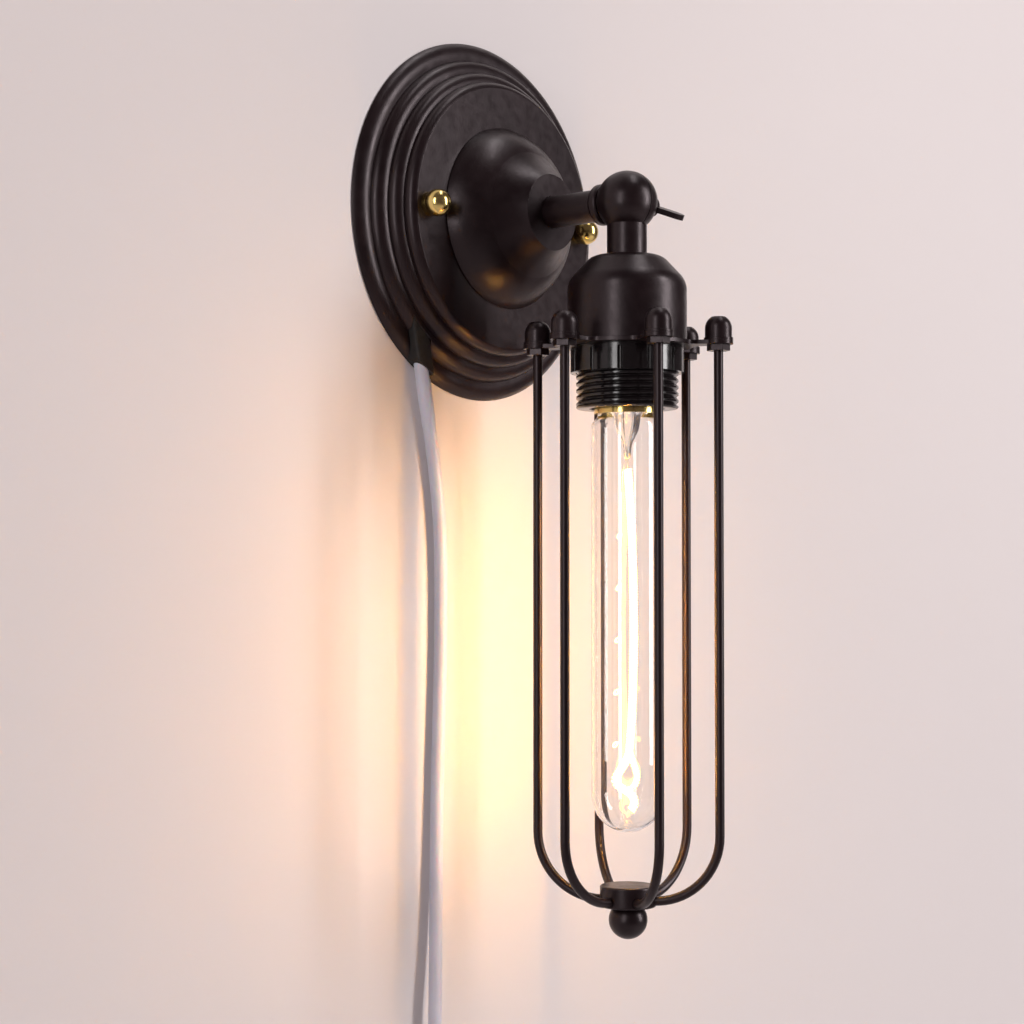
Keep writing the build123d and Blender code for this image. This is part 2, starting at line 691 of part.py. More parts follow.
def bulb_glass():
    """The long tubular envelope, hollow, with a round tip and a short neck inside the cap."""
    neck = BULB_CAP_RADIUS - BULB_CAP_WALL - GLASS_FIT
    straight = GLASS_TIP + GLASS_RADIUS
    share = math.sqrt(0.5)

    def half(shift):
        radius = GLASS_RADIUS - shift
        return [
            Line((neck - shift, GLASS_TOP + 4.0), (neck - shift, GLASS_TOP - 0.8)),
            Spline(
                (neck - shift, GLASS_TOP - 0.8),
                (radius, GLASS_TOP - 5.0),
                tangents=[(0.35, -1), (0, -1)],
            ),
            Line((radius, GLASS_TOP - 5.0), (radius, straight)),
            ThreePointArc(
                (radius, straight),
                (radius * share, straight - radius * share),
                (0, straight - radius),
            ),
        ]

    top = Line((neck - GLASS_WALL, GLASS_TOP + 4.0), (neck, GLASS_TOP + 4.0))
    tip = Line((0, GLASS_TIP), (0, GLASS_TIP + GLASS_WALL))
    return turned(*half(0.0), *half(GLASS_WALL), top, tip)


STEM_TOP = GLASS_TOP + 3.0
STEM_FOOT = STEM_TOP - STEM_FLARE - STEM_LENGTH
FILAMENT_TOP = STEM_FOOT - FILAMENT_DROP
FILAMENT_FOOT = GLASS_TIP + FILAMENT_TIP_GAP


def bulb_stem():
    """The glass foot inside the envelope: a flare at the top and a solid stem."""
    wide = BULB_CAP_RADIUS - BULB_CAP_WALL - 2 * GLASS_FIT - GLASS_WALL
    flare = Pos(0, 0, STEM_TOP - STEM_FLARE) * Cone(STEM_RADIUS, wide, STEM_FLARE, align=STANDING)
    return flare + rod(STEM_RADIUS, STEM_FOOT, STEM_TOP - STEM_FLARE)


def bulb_filament():
    """One long hairpin from the stem down to the lower hook and back."""
    route = FilletPolyline(
        (-FILAMENT_SPREAD, 0, FILAMENT_TOP),
        (-FILAMENT_SPREAD, 0, FILAMENT_FOOT),
        (FILAMENT_SPREAD, 0, FILAMENT_FOOT),
        (FILAMENT_SPREAD, 0, FILAMENT_TOP),
        radius=FILAMENT_SPREAD * 0.9,
    )
    section = Plane(origin=route @ 0, z_dir=route % 0) * Circle(FILAMENT_RADIUS)
    return sweep(section, route)


def bulb_supports():
    """Two lead-in wires down to the filament's ends, and a long wire that holds its foot."""
    wires = [rod(SUPPORT_RADIUS, FILAMENT_TOP, STEM_FOOT, x=side * FILAMENT_SPREAD) for side in (-1, 1)]
    back = FILAMENT_RADIUS + SUPPORT_RADIUS + 0.6
    foot = FILAMENT_FOOT - FILAMENT_RADIUS - SUPPORT_RADIUS
    route = FilletPolyline((0, back, STEM_FOOT), (0, back, foot), (0, -back, foot), radius=0.8)
    section = Plane(origin=route @ 0, z_dir=route % 0) * Circle(SUPPORT_RADIUS)
    wires.append(sweep(section, route))
    return Compound(wires)


# ---- cage ----
def cage_spot(angle, radius=CAGE_RADIUS):
    """The place of a wire, on the cage's circle."""
    turn = math.radians(angle)
    return radius * math.cos(turn), radius * math.sin(turn)


def cage_plate():
    """The flat plate with six rounded arms, clamped between the cup and the shade ring."""
    outline = Circle(CAGE_PLATE_RADIUS)
    for angle in WIRE_ANGLES:
        arm = Pos(CAGE_RADIUS / 2, 0) * Rectangle(CAGE_RADIUS, CAGE_ARM_WIDTH)
        outline += Rot(0, 0, angle) * arm
    inner = [v for v in outline.vertices() if math.hypot(v.X, v.Y) < CAGE_RADIUS - 3]
    outline = fillet(inner, 4.0)
    for angle in WIRE_ANGLES:
        outline += Pos(*cage_spot(angle)) * Circle(CAGE_ARM_END)
    outline -= Circle(HOLDER_RADIUS + NIPPLE_CLEARANCE)
    for angle in WIRE_ANGLES:
        outline -= Pos(*cage_spot(angle)) * Circle(WIRE_RADIUS + WIRE_FIT)
    return prism(outline, PLATE_UNDER, CUP_RIM)


def cage_wire(angle):
    """One wire: up through the plate into its cap nut, and bent in at the foot into the collar."""
    end = COLLAR_RADIUS - COLLAR_WALL_HOLD
    route = FilletPolyline(
        (CAGE_RADIUS, 0, CUP_RIM + CAP_NUT_DEPTH - 0.2),
        (CAGE_RADIUS, 0, WIRE_FLOOR),
        (end, 0, WIRE_FLOOR),
        radius=min(WIRE_BEND, CAGE_RADIUS - end - 0.5),
    )
    section = Plane(origin=route @ 0, z_dir=route % 0) * Circle(WIRE_RADIUS)
    return Rot(0, 0, angle) * sweep(section, route)


def cap_nuts():
    """Six domed nuts on the plate, one over each wire."""
    dome = CAP_NUT_HEIGHT - CAP_NUT_RADIUS * 0.86
    nut = rod(CAP_NUT_RADIUS, CUP_RIM, CUP_RIM + dome)
    nut += rod(CAP_NUT_FLANGE_RADIUS, CUP_RIM, CUP_RIM + CAP_NUT_FLANGE)
    cap = Pos(0, 0, CUP_RIM + dome) * Sphere(CAP_NUT_RADIUS)
    nut += cap & rod(CAP_NUT_RADIUS + 1, CUP_RIM + dome, CUP_RIM + CAP_NUT_HEIGHT)
    nut -= rod(WIRE_RADIUS + WIRE_FIT, CUP_RIM, CUP_RIM + CAP_NUT_DEPTH)
    return Compound([Pos(*cage_spot(angle)) * nut for angle in WIRE_ANGLES])


def lock_nuts():
    """Six small hex nuts under the plate."""
    flat = hexagon(LOCK_NUT_ACROSS_FLATS) - Circle(WIRE_RADIUS + WIRE_FIT)
    nut = prism(flat, PLATE_UNDER - LOCK_NUT_HEIGHT, PLATE_UNDER)
    return Compound([Pos(*cage_spot(angle)) * Rot(0, 0, angle) * nut for angle in WIRE_ANGLES])


def bottom_collar():
    """The turned collar that gathers the wires, drilled for each of them and for the ball's stud."""
    collar = rod(COLLAR_RADIUS, COLLAR_FOOT, COLLAR_TOP)
    collar = fillet(collar.edges().filter_by(GeomType.CIRCLE), 0.8)
    for angle in WIRE_ANGLES:
        hole = x_rod(WIRE_RADIUS + WIRE_FIT, COLLAR_RADIUS - COLLAR_WALL_HOLD - 0.2, COLLAR_RADIUS + 5)
        collar -= Rot(0, 0, angle) * Pos(0, 0, WIRE_FLOOR) * hole
    return collar - rod(FINIAL_STUD_RADIUS + SCREW_FIT, COLLAR_FOOT - 1, COLLAR_TOP - 1.2)


def bottom_ball():
    """The ball under the collar, flat where it seats, with its stud."""
    ball = Pos(0, 0, COLLAR_FOOT - FINIAL_SINK) * Sphere(FINIAL_RADIUS)
    ball -= rod(FINIAL_RADIUS * 2, COLLAR_FOOT, COLLAR_FOOT + FINIAL_RADIUS * 2)
    return ball + rod(FINIAL_STUD_RADIUS, COLLAR_FOOT - 1, COLLAR_FOOT + FINIAL_STUD_LENGTH)


# ---- mains cord ----
def exit_point():
    """Where the cord's middle line crosses the plate's rim."""
    turn = math.radians(EXIT_ANGLE)
    return Vector(PLATE_RADIUS * math.cos(turn), EXIT_Y, PLATE_RADIUS * math.sin(turn))


def exit_way():
    """The cord's way out, along the wall."""
    lean = math.radians(EXIT_LEAN)
    return Vector(math.sin(lean), 0, -math.cos(lean))


def exit_plane(distance):
    """A plane across the cord's way out, at a distance from the rim."""
    return Plane(origin=exit_point() + exit_way() * distance, x_dir=(0, 1, 0), z_dir=exit_way())


def along_exit(sketch, start, end):
    """A prism along the cord's way out, between two distances from the rim."""
    return extrude(exit_plane(start) * sketch, end - start)


def notch_block(fit):
    """The notch in the plate's rim, or the grommet's outside when fit is more than 0."""
    height = GROMMET_HEIGHT - fit
    outline = Pos(-height / 2 - EXIT_Y, 0) * Rectangle(height, GROMMET_WIDTH - 2 * fit)
    if fit:
        outline = fillet(outline.vertices().group_by(Axis.X)[0], GROMMET_ROUND)
    return along_exit(outline, -GROMMET_DEPTH + fit, GROMMET_WIDTH * 1.5)


def rim_grommet():
    """The rubber block in the rim's notch: a low hood over the cord, round with the plate's rim."""
    block = notch_block(GROMMET_FIT) & wall_disc(PLATE_RADIUS, 0, GROMMET_HEIGHT)
    return block - along_exit(Circle(RELIEF_NECK_RADIUS + SCREW_FIT), -2 * GROMMET_DEPTH, 2 * GROMMET_DEPTH)


def strain_relief():
    """The moulded sleeve on the cord: a neck in the grommet and a tapered tail."""
    neck = along_exit(Circle(RELIEF_NECK_RADIUS), -GROMMET_DEPTH + 0.5, RELIEF_START + 1.0)
    wide = exit_plane(RELIEF_START) * Circle(RELIEF_RADIUS)
    narrow = exit_plane(RELIEF_LENGTH) * Circle(RELIEF_TAIL_RADIUS)
    tail = loft([wide, narrow])
    return neck + tail


def cord_cores():
    """The cord's two cores inside the plate, from the strain relief to the terminal block."""
    start = exit_point() - exit_way() * (GROMMET_DEPTH - 0.5)
    bend = start - exit_way() * 14.0
    block_side = Vector(-BLOCK_SIZE[0] / 2, EXIT_Y - 2.2, -BLOCK_DROP)
    near_block = block_side + Vector(-13.0, 0, 0)
    cores = []
    for side in (-1, 1):
        apart = Vector(0, side * CORE_SPREAD, 0)
        corner = Vector(bend.X + 6.5, EXIT_Y - 1.2, -BLOCK_DROP - 2.8)
        points = [start + apart, bend + apart, corner + apart, near_block + apart, block_side + apart]
        cores.append(tube(points, CORE_RADIUS, "cord_cores"))
    return Compound(cores)


def tube(points, radius, name):
    """A round tube of straight runs and tangent arcs through hand-chosen points."""
    points = [Vector(*point) for point in points]
    runs = [(b - a).length for a, b in zip(points, points[1:])]
    radii = []
    for k in range(1, len(points) - 1):
        turn = (points[k] - points[k - 1]).get_angle(points[k + 1] - points[k])
        radii.append(0.45 * min(runs[k - 1], runs[k]) / math.tan(math.radians(turn) / 2))
    route = FilletPolyline(*points, radius=radii) if radii else Line(*points)
    section = Plane(origin=route @ 0, z_dir=route % 0) * Circle(radius)
    solid = sweep(section, route)
    short = 100 * (1 - solid.volume / (math.pi * radius**2 * route.length))
    smallest = f"{min(radii):.1f}" if radii else "none"
    print(f"{name}: length {route.length:.1f}, volume short by {short:.2f} %, smallest radius {smallest}")
    print("   radii", [round(r, 1) for r in radii])
    return solid


SWITCH_Y = -(CORD_WALL_GAP + SWITCH_DEPTH / 2)
SWITCH_FOOT = SWITCH_PLACE[1] - SWITCH_BODY - 2 * SWITCH_NOSE
COIL_Y = -(COIL_BACK + CORD_RADIUS)
COIL_END_Y = -(COIL_BACK + COIL_THICKNESS - CORD_RADIUS)


def cord_upper():
    """Down the wall from the strain relief to the switch."""
    start = exit_point() + exit_way() * RELIEF_LENGTH
    return tube(
        [
            start,
            start + exit_way() * 17.0,
            (-26.6, -3.5, -129.0),
            (-25.5, CORD_Y, -156.0),
            (-26.0, CORD_Y, -188.0),
            (-27.6, CORD_Y, -224.0),
            (-28.7, -3.4, -262.0),
            (-30.2, -4.5, -298.0),
            (SWITCH_PLACE[0], SWITCH_Y, -328.0),
            (SWITCH_PLACE[0], SWITCH_Y, SWITCH_PLACE[1]),
        ],
        CORD_RADIUS,
        "cord_upper",
    )


def cord_lower():
    """From the switch, in a gentle S, into the coil's outer turn."""
    x = SWITCH_PLACE[0]
    turn_x = COIL_CENTRE[0] - COIL_LEAD_RADIUS
    z = COIL_CENTRE[1]
    return tube(
        [
            (x, SWITCH_Y, SWITCH_FOOT),
            (x, SWITCH_Y, SWITCH_FOOT - 11.0),
            (x - 7.0, SWITCH_Y + 0.6, SWITCH_FOOT - 25.0),
            (turn_x + 6.4, COIL_Y - 0.5, z + 28.0),
            (turn_x, COIL_Y, z + 12.0),
            (turn_x - 0.2, COIL_Y, z + 2.0),
        ],
        CORD_RADIUS,
        "cord_lower",
    )


def cord_coil():
    """The wound part of the cord: one ring of the coil's outer shape."""
    wide = COIL_OUTER_RADIUS - COIL_INNER_RADIUS
    outline = Pos(COIL_INNER_RADIUS + wide / 2, -COIL_BACK - COIL_THICKNESS / 2) * RectangleRounded(
        wide, COIL_THICKNESS, CORD_RADIUS * 0.95
    )
    return Pos(COIL_CENTRE[0], 0, COIL_CENTRE[1]) * revolve(outline, Axis.Y)


def coil_tie():
    """The strap round the coil's turns."""
    wide = COIL_OUTER_RADIUS - COIL_INNER_RADIUS + 2 * TIE_FIT
    deep = COIL_THICKNESS + 2 * TIE_FIT
    hole = RectangleRounded(wide, deep, CORD_RADIUS * 0.9)
    band = RectangleRounded(wide + 2 * TIE_SHEET, deep + 2 * TIE_SHEET, CORD_RADIUS * 0.9 + TIE_SHEET) - hole
    strap = extrude(Plane.XY * band, TIE_WIDTH / 2, both=True)
    middle = (COIL_INNER_RADIUS + COIL_OUTER_RADIUS) / 2
    strap = Rot(0, -TIE_ANGLE, 0) * Pos(middle, -COIL_BACK - COIL_THICKNESS / 2, 0) * strap
    return Pos(COIL_CENTRE[0], 0, COIL_CENTRE[1]) * strap


def cord_end():
    """The short end from the coil down into the plug."""
    x = COIL_CENTRE[0] - COIL_END_RADIUS
    return tube([(x, COIL_END_Y, COIL_CENTRE[1] - 6.0), (x, COIL_END_Y, PLUG_TOP)], CORD_RADIUS, "cord_end")


AT_SWITCH = Pos(SWITCH_PLACE[0], SWITCH_Y, (SWITCH_PLACE[1] + SWITCH_FOOT) / 2)
ROCKER_PIVOT_Y = -SWITCH_DEPTH / 2 + 1.0


def switch_body():
    """The in-line switch: an oval case with a nose for the cord at each end and a rocker's well."""
    half_depth = SWITCH_DEPTH / 2
    case = extrude(Plane.XZ * SlotOverall(SWITCH_BODY, SWITCH_WIDTH, rotation=90), half_depth, both=True)
    rims = case.edges().group_by(Axis.Y)
    case = fillet(rims[0] + rims[-1], SWITCH_ROUND)
    nose = Cone(SWITCH_NOSE_RADIUS, CORD_RADIUS + 0.4, SWITCH_NOSE + 1.0, align=STANDING)
    case += Pos(0, 0, SWITCH_BODY / 2 - 1.0) * nose
    case += Rot(180, 0, 0) * Pos(0, 0, SWITCH_BODY / 2 - 1.0) * nose
    well = Box(ROCKER_WIDTH + 2 * ROCKER_GAP, 8.0, ROCKER_LENGTH + 4 * ROCKER_GAP)
    case -= Pos(0, -SWITCH_DEPTH / 2 - 4.0 + 5.6, 0) * well
    half = ROCKER_WIDTH / 2 + ROCKER_GAP + 1.4
    return case - Pos(0, ROCKER_PIVOT_Y, 0) * x_rod(ROCKER_PIVOT_RADIUS + SCREW_FIT, -half, half)


def switch_rocker():
    """The rocker on its two stub pivots, its upper end pressed in."""
    half = ROCKER_LENGTH / 2
    outline = Polyline(
        (-half, ROCKER_RISE),
        (0, ROCKER_DIP),
        (half, ROCKER_RISE),
        (half - 0.6, -ROCKER_DEPTH + 1.2),
        (half - 3.0, -ROCKER_DEPTH),
        (-half + 3.0, -ROCKER_DEPTH),
        (-half + 0.6, -ROCKER_DEPTH + 1.2),
        close=True,
    )
    face = Plane(origin=(0, 0, 0), x_dir=(0, 0, 1), z_dir=(1, 0, 0)) * make_face(outline)
    rocker = extrude(face, ROCKER_WIDTH / 2, both=True)
    reach = ROCKER_WIDTH / 2 + ROCKER_GAP + 1.2
    rocker += x_rod(ROCKER_PIVOT_RADIUS, -reach, reach)
    return Pos(0, ROCKER_PIVOT_Y, 0) * Rot(-ROCKER_TILT, 0, 0) * rocker


AT_PLUG = Pos(COIL_CENTRE[0] - COIL_END_RADIUS, COIL_END_Y, PLUG_TOP)


def plug_body():
    """The moulded plug: a tapered nose for the cord and a rounded grip."""
    nose = Rot(180, 0, 0) * Cone(CORD_RADIUS + 0.3, PLUG_NOSE_RADIUS, PLUG_NOSE + 1.0, align=STANDING)
    outline = RectangleRounded(PLUG_WIDTH, PLUG_DEPTH, PLUG_DEPTH * 0.45)
    grip = Pos(0, 0, -PLUG_NOSE - PLUG_LENGTH) * extrude(outline, PLUG_LENGTH)
    grip = fillet(grip.edges().group_by(Axis.Z)[-1], 4.0)
    grip = fillet(grip.edges().group_by(Axis.Z)[0], 1.0)
    return nose + grip


def plug_blades():
    """The two flat blades."""
    foot = -PLUG_NOSE - PLUG_LENGTH
    blades = []
    for side in (-1, 1):
        blade = Pos(side * BLADE_SPREAD, 0, foot - BLADE_LENGTH / 2) * Box(
            BLADE_THICKNESS, BLADE_WIDTH, BLADE_LENGTH
        )
        blades.append(chamfer(blade.edges().group_by(Axis.Z)[0], 0.5))
    return Compound(blades)


# ---- every piece, in the order it is put together ----
save(mounting_bar(), "mounting_bar")
save(studs(), "plate_studs")
save(stud_nuts(), "stud_nuts")
save(terminal_block(), "terminal_block")
save(terminal_screws(), "terminal_screws")
save(wall_plate(), "wall_plate")
save(bell(), "bell")
save(Compound([ball_nut(-STUD_OFFSET), ball_nut(STUD_OFFSET)]), "ball_nuts")
save(arm_tube(), "arm_tube")
save(arm_nuts(), "arm_nuts")
save(arm_leads(), "arm_leads")
save(arm_ball_half(), "arm_ball_half", AT_BALL)

save(head_ball_half(), "head_ball_half", AT_BALL)
save(wing_screw(), "wing_screw", AT_BALL)
save(holder_cup(), "holder_cup", AT_BALL)
save(cup_nut(), "cup_nut", AT_BALL)
save(lampholder_cap(), "lampholder_cap", AT_BALL)
save(lampholder_skirt(), "lampholder_skirt", AT_BALL)
save(shade_ring(), "shade_ring", AT_BALL)
save(contact_insert(), "contact_insert", AT_BALL)
save(centre_contact(), "centre_contact", AT_BALL)
save(screw_shell(), "screw_shell", AT_BALL)
save(holder_terminals(), "holder_terminals", AT_BALL)
save(holder_leads(), "holder_leads", AT_BALL)

save(bulb_cap(), "bulb_cap", AT_BALL)
save(bulb_insulator(), "bulb_insulator", AT_BALL)
save(bulb_tip_contact(), "bulb_tip_contact", AT_BALL)
save(bulb_glass(), "bulb_glass", AT_BALL)
save(bulb_stem(), "bulb_stem", AT_BALL)
save(bulb_filament(), "bulb_filament", AT_BALL)
save(bulb_supports(), "bulb_supports", AT_BALL)

save(cage_plate(), "cage_plate", AT_BALL)
for number, angle in enumerate(WIRE_ANGLES, 1):
    save(cage_wire(angle), f"cage_wire_{number}", AT_BALL)
save(cap_nuts(), "cap_nuts", AT_BALL)
save(lock_nuts(), "lock_nuts", AT_BALL)
save(bottom_collar(), "bottom_collar", AT_BALL)
save(bottom_ball(), "bottom_ball", AT_BALL)

save(rim_grommet(), "rim_grommet")
save(strain_relief(), "strain_relief")
save(cord_cores(), "cord_cores")
save(cord_upper(), "cord_upper")
save(cord_lower(), "cord_lower")
save(cord_coil(), "cord_coil")
save(coil_tie(), "coil_tie")
save(cord_end(), "cord_end")
save(switch_body(), "switch_body", AT_SWITCH)
save(switch_rocker(), "switch_rocker", AT_SWITCH)
save(plug_body(), "plug_body", AT_PLUG)
save(plug_blades(), "plug_blades", AT_PLUG)
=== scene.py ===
"""The looks of a caged wall lamp with a ball joint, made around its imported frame.

Everything is in metres, in the frame's own axes: the wall is the plane Y = 0, the lamp stands out
along -Y and Z is up.
"""
import logging
import math
from dataclasses import dataclass
from enum import Enum
from typing import Iterable, Sequence

import bpy
import numpy as np
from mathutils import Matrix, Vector


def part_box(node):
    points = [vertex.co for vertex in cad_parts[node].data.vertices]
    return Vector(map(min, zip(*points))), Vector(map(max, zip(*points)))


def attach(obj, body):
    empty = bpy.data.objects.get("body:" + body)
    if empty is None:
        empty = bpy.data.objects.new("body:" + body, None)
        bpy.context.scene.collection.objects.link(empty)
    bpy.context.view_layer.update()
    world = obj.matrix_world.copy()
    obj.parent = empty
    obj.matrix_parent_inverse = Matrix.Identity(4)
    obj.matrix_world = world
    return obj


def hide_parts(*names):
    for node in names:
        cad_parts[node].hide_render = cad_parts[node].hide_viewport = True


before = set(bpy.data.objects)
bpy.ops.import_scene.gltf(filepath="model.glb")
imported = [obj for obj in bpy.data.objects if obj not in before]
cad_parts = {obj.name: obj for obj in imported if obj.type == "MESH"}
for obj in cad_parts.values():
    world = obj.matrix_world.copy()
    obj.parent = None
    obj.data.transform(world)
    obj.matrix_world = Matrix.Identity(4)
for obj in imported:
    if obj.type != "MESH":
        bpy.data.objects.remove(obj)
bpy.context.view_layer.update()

LOG = logging.getLogger("wall_lamp")
MM = 0.001
FULL_TURN = 360.0
HALF_TURN = 180.0
Colour = tuple[float, float, float]
Point = tuple[float, float, float]
Rings = Sequence[np.ndarray]

# where a noise's values mostly lie, and where a tone starts and ends over them
SPOT_LOW, SPOT_HIGH = 0.3, 0.7
TONE_LOW, TONE_HIGH = 0.34, 0.66
EDGE_SAMPLES = 4
EVEN = (1, 1, 1)
# directions that a plain wire's and a coiled wire's sections are turned from
WIRE_SIDE = (0.31, 0.95, 0.07)
COIL_SIDE = (0.0, 1.0, 0.02)


class Body(Enum):
    """The lamp's rigid bodies."""

    WALL = "root"
    HEAD = "head"


class Slot(Enum):
    """The record's material slots."""

    PAINT = "dark_paint"
    BRASS = "polished_brass"
    ZINC = "zinc_steel"
    BAKELITE = "black_bakelite"
    CERAMIC = "white_ceramic"
    GLASS = "clear_glass"
    FILAMENT = "glowing_filament"
    RUBBER = "dark_rubber"
    CORD = "pale_pvc"
    TIE = "tie_rubber"
    SHELL = "pale_plastic"
    BLOCK = "block_plastic"
    LEAD = "lead_insulation"


# ---- finishes ----
class Shader:
    """One material: a Principled shader and the nodes that feed it."""

    def __init__(self, name: str) -> None:
        """Makes a material with a bare Principled shader.

        Args:
            name: the material's name.
        """
        self.material = bpy.data.materials.new(name)
        self.material.use_nodes = True
        self.tree = self.material.node_tree
        self.tree.nodes.clear()
        self.principled = self.tree.nodes.new("ShaderNodeBsdfPrincipled")
        output = self.tree.nodes.new("ShaderNodeOutputMaterial")
        self.tree.links.new(self.principled.outputs[0], output.inputs[0])
        self.place = self.tree.nodes.new("ShaderNodeTexCoord").outputs["Object"]

    def set(self, socket: str, value: object) -> None:
        """Sets one of the Principled shader's own sockets, or links a node's output to it.

        Args:
            socket: the socket's name.
            value: a number, a colour or a node's output.
        """
        target = self.principled.inputs[socket]
        if isinstance(value, bpy.types.NodeSocket):
            self.tree.links.new(value, target)
        elif isinstance(value, tuple) and len(value) == 3 and target.type == "RGBA":
            target.default_value = (*value, 1.0)
        else:
            target.default_value = value

    def node(self, kind: str, inputs: dict[str, object], **settings: object) -> bpy.types.Node:
        """Adds a node.

        Args:
            kind: the node's type, without its ShaderNode prefix.
            inputs: sockets to set or to link, by name.
            settings: the node's own properties.

        Returns:
            The new node.
        """
        made = self.tree.nodes.new("ShaderNode" + kind)
        for key, value in settings.items():
            setattr(made, key, value)
        for key, value in inputs.items():
            if isinstance(value, bpy.types.NodeSocket):
                self.tree.links.new(value, made.inputs[key])
            else:
                made.inputs[key].default_value = value
        return made

    def stretched(self, stretch: Sequence[float]) -> bpy.types.NodeSocket:
        """The object's own coordinates, scaled along each axis."""
        return self.node("Mapping", {"Vector": self.place, "Scale": tuple(stretch)}).outputs["Vector"]

    def spots(
        self, size: float, detail: float = 2.0, stretch: Sequence[float] = EVEN
    ) -> bpy.types.NodeSocket:
        """Soft random spots.

        Args:
            size: a spot's size in metres.
            detail: how many finer octaves the spots have.
            stretch: how much finer the spots are along each axis.

        Returns:
            The spots' value, about 0.3 to 0.7.
        """
        place = self.stretched(stretch) if tuple(stretch) != EVEN else self.place
        inputs = {"Vector": place, "Scale": 1.0 / size, "Detail": detail}
        return self.node("TexNoise", inputs).outputs["Fac"]

    def between(self, value: bpy.types.NodeSocket, low: float, high: float) -> bpy.types.NodeSocket:
        """A spots value spread from low to high."""
        spread = {"From Min": SPOT_LOW, "From Max": SPOT_HIGH, "To Min": low, "To Max": high}
        return self.node("MapRange", {"Value": value, **spread}).outputs["Result"]

    def tones(self, value: bpy.types.NodeSocket, first: Colour, second: Colour) -> bpy.types.NodeSocket:
        """A colour that goes from one tone to another over a spots value.

        Args:
            value: the spots.
            first: the tone where the spots are low.
            second: the tone where they are high.

        Returns:
            The colour's output.
        """
        ramp = self.node("ValToRGB", {"Fac": value})
        ramp.color_ramp.elements[0].position = TONE_LOW
        ramp.color_ramp.elements[0].color = (*first, 1.0)
        ramp.color_ramp.elements[1].position = TONE_HIGH
        ramp.color_ramp.elements[1].color = (*second, 1.0)
        return ramp.outputs["Color"]

    def relief(
        self, value: bpy.types.NodeSocket, depth: float, under: bpy.types.NodeSocket | None = None
    ) -> bpy.types.NodeSocket:
        """A fine relief in the surface.

        Args:
            value: the relief's height, as spots.
            depth: its depth in metres.
            under: a normal that it lies over, if any.

        Returns:
            The normal's output.
        """
        inputs = {"Height": value, "Distance": depth, "Strength": 1.0}
        if under is not None:
            inputs["Normal"] = under
        return self.node("Bump", inputs).outputs["Normal"]

    def soft_edges(self, radius: float) -> bpy.types.NodeSocket:
        """A normal that rounds sharp edges, so that they catch light as painted edges do."""
        return self.node("Bevel", {"Radius": radius}, samples=EDGE_SAMPLES).outputs["Normal"]


@dataclass(frozen=True)
class Finish:
    """A finish with two close tones in soft patches, an uneven gloss and a fine relief.

    patch, grain and fine are sizes in metres; depth and fine_depth are relief depths in metres.
    """

    slot: Slot
    tone: Colour
    second_tone: Colour
    roughness: tuple[float, float]
    metallic: float = 0.0
    patch: float = 0.012
    grain: float = 0.0014
    depth: float = 0.00004
    fine: float = 0.00030
    fine_depth: float = 0.000012
    edge: float = 0.0
    stretch: tuple[float, float, float] = EVEN
    extra: tuple[tuple[str, object], ...] = ()

    def material(self) -> bpy.types.Material:
        """The finish's material, made once."""
        name = self.slot.value + "_finish"
        return bpy.data.materials.get(name) or self.make(Shader(name))

    def make(self, shader: Shader) -> bpy.types.Material:
        """Wires the finish into a new shader.

        Args:
            shader: the shader, still bare.

        Returns:
            Its material.
        """
        shader.set("Base Color", shader.tones(shader.spots(self.patch), self.tone, self.second_tone))
        shader.set("Metallic", self.metallic)
        gloss = shader.spots(self.patch / 4, 3.0, self.stretch)
        shader.set("Roughness", shader.between(gloss, *self.roughness))
        under = shader.soft_edges(self.edge) if self.edge else None
        coarse = shader.relief(shader.spots(self.grain), self.depth, under)
        fine = shader.spots(self.fine, 1.0, self.stretch)
        shader.set("Normal", shader.relief(fine, self.fine_depth, coarse))
        for socket, value in self.extra:
            shader.set(socket, value)
        return shader.material


@dataclass(frozen=True)
class Glow(Finish):
    """A white-hot wire, a little brighter in places."""

    strength: float = 60.0

    def make(self, shader: Shader) -> bpy.types.Material:
        """Wires the glow into a new shader.

        Args:
            shader: the shader, still bare.

        Returns:
            Its material.
        """
        material = super().make(shader)
        shader.set("Emission Color", shader.tones(shader.spots(self.patch), self.tone, self.second_tone))
        shader.set("Emission Strength", self.strength)
        return material


@dataclass(frozen=True)
class ClearGlass(Finish):
    """Drawn glass: clear, with faint waves along its length and a trace of dust."""

    ior: float = 1.47

    def make(self, shader: Shader) -> bpy.types.Material:
        """Wires the glass into a new shader.

        Args:
            shader: the shader, still bare.

        Returns:
            Its material.
        """
        shader.set("Base Color", shader.tones(shader.spots(self.patch), self.tone, self.second_tone))
        shader.set("Roughness", shader.between(shader.spots(self.patch / 3), *self.roughness))
        shader.set("Transmission Weight", 1.0)
        shader.set("IOR", self.ior)
        shader.set("Normal", shader.relief(shader.spots(self.grain, 1.0, self.stretch), self.depth))
        return shader.material


PAINT = Finish(
    Slot.PAINT, (0.0080, 0.0040, 0.0046), (0.0120, 0.0060, 0.0068), (0.29, 0.39), patch=0.016,
    grain=0.0011, depth=0.000022, fine=0.00028, fine_depth=0.000006, edge=0.00030,
    extra=(("Specular IOR Level", 0.38), ("Specular Tint", (1.0, 0.85, 0.89))),
)
BRASS = Finish(
    Slot.BRASS, (0.72, 0.54, 0.18), (0.80, 0.62, 0.24), (0.14, 0.24), metallic=1.0, patch=0.005,
    grain=0.0020, depth=0.000010, fine=0.00022, fine_depth=0.000004, edge=0.0002,
)
ZINC = Finish(
    Slot.ZINC, (0.52, 0.53, 0.53), (0.64, 0.65, 0.63), (0.28, 0.42), metallic=1.0, patch=0.006,
    grain=0.0009, depth=0.000015, fine=0.0002, fine_depth=0.000008, edge=0.0002, stretch=(1, 1, 6),
)
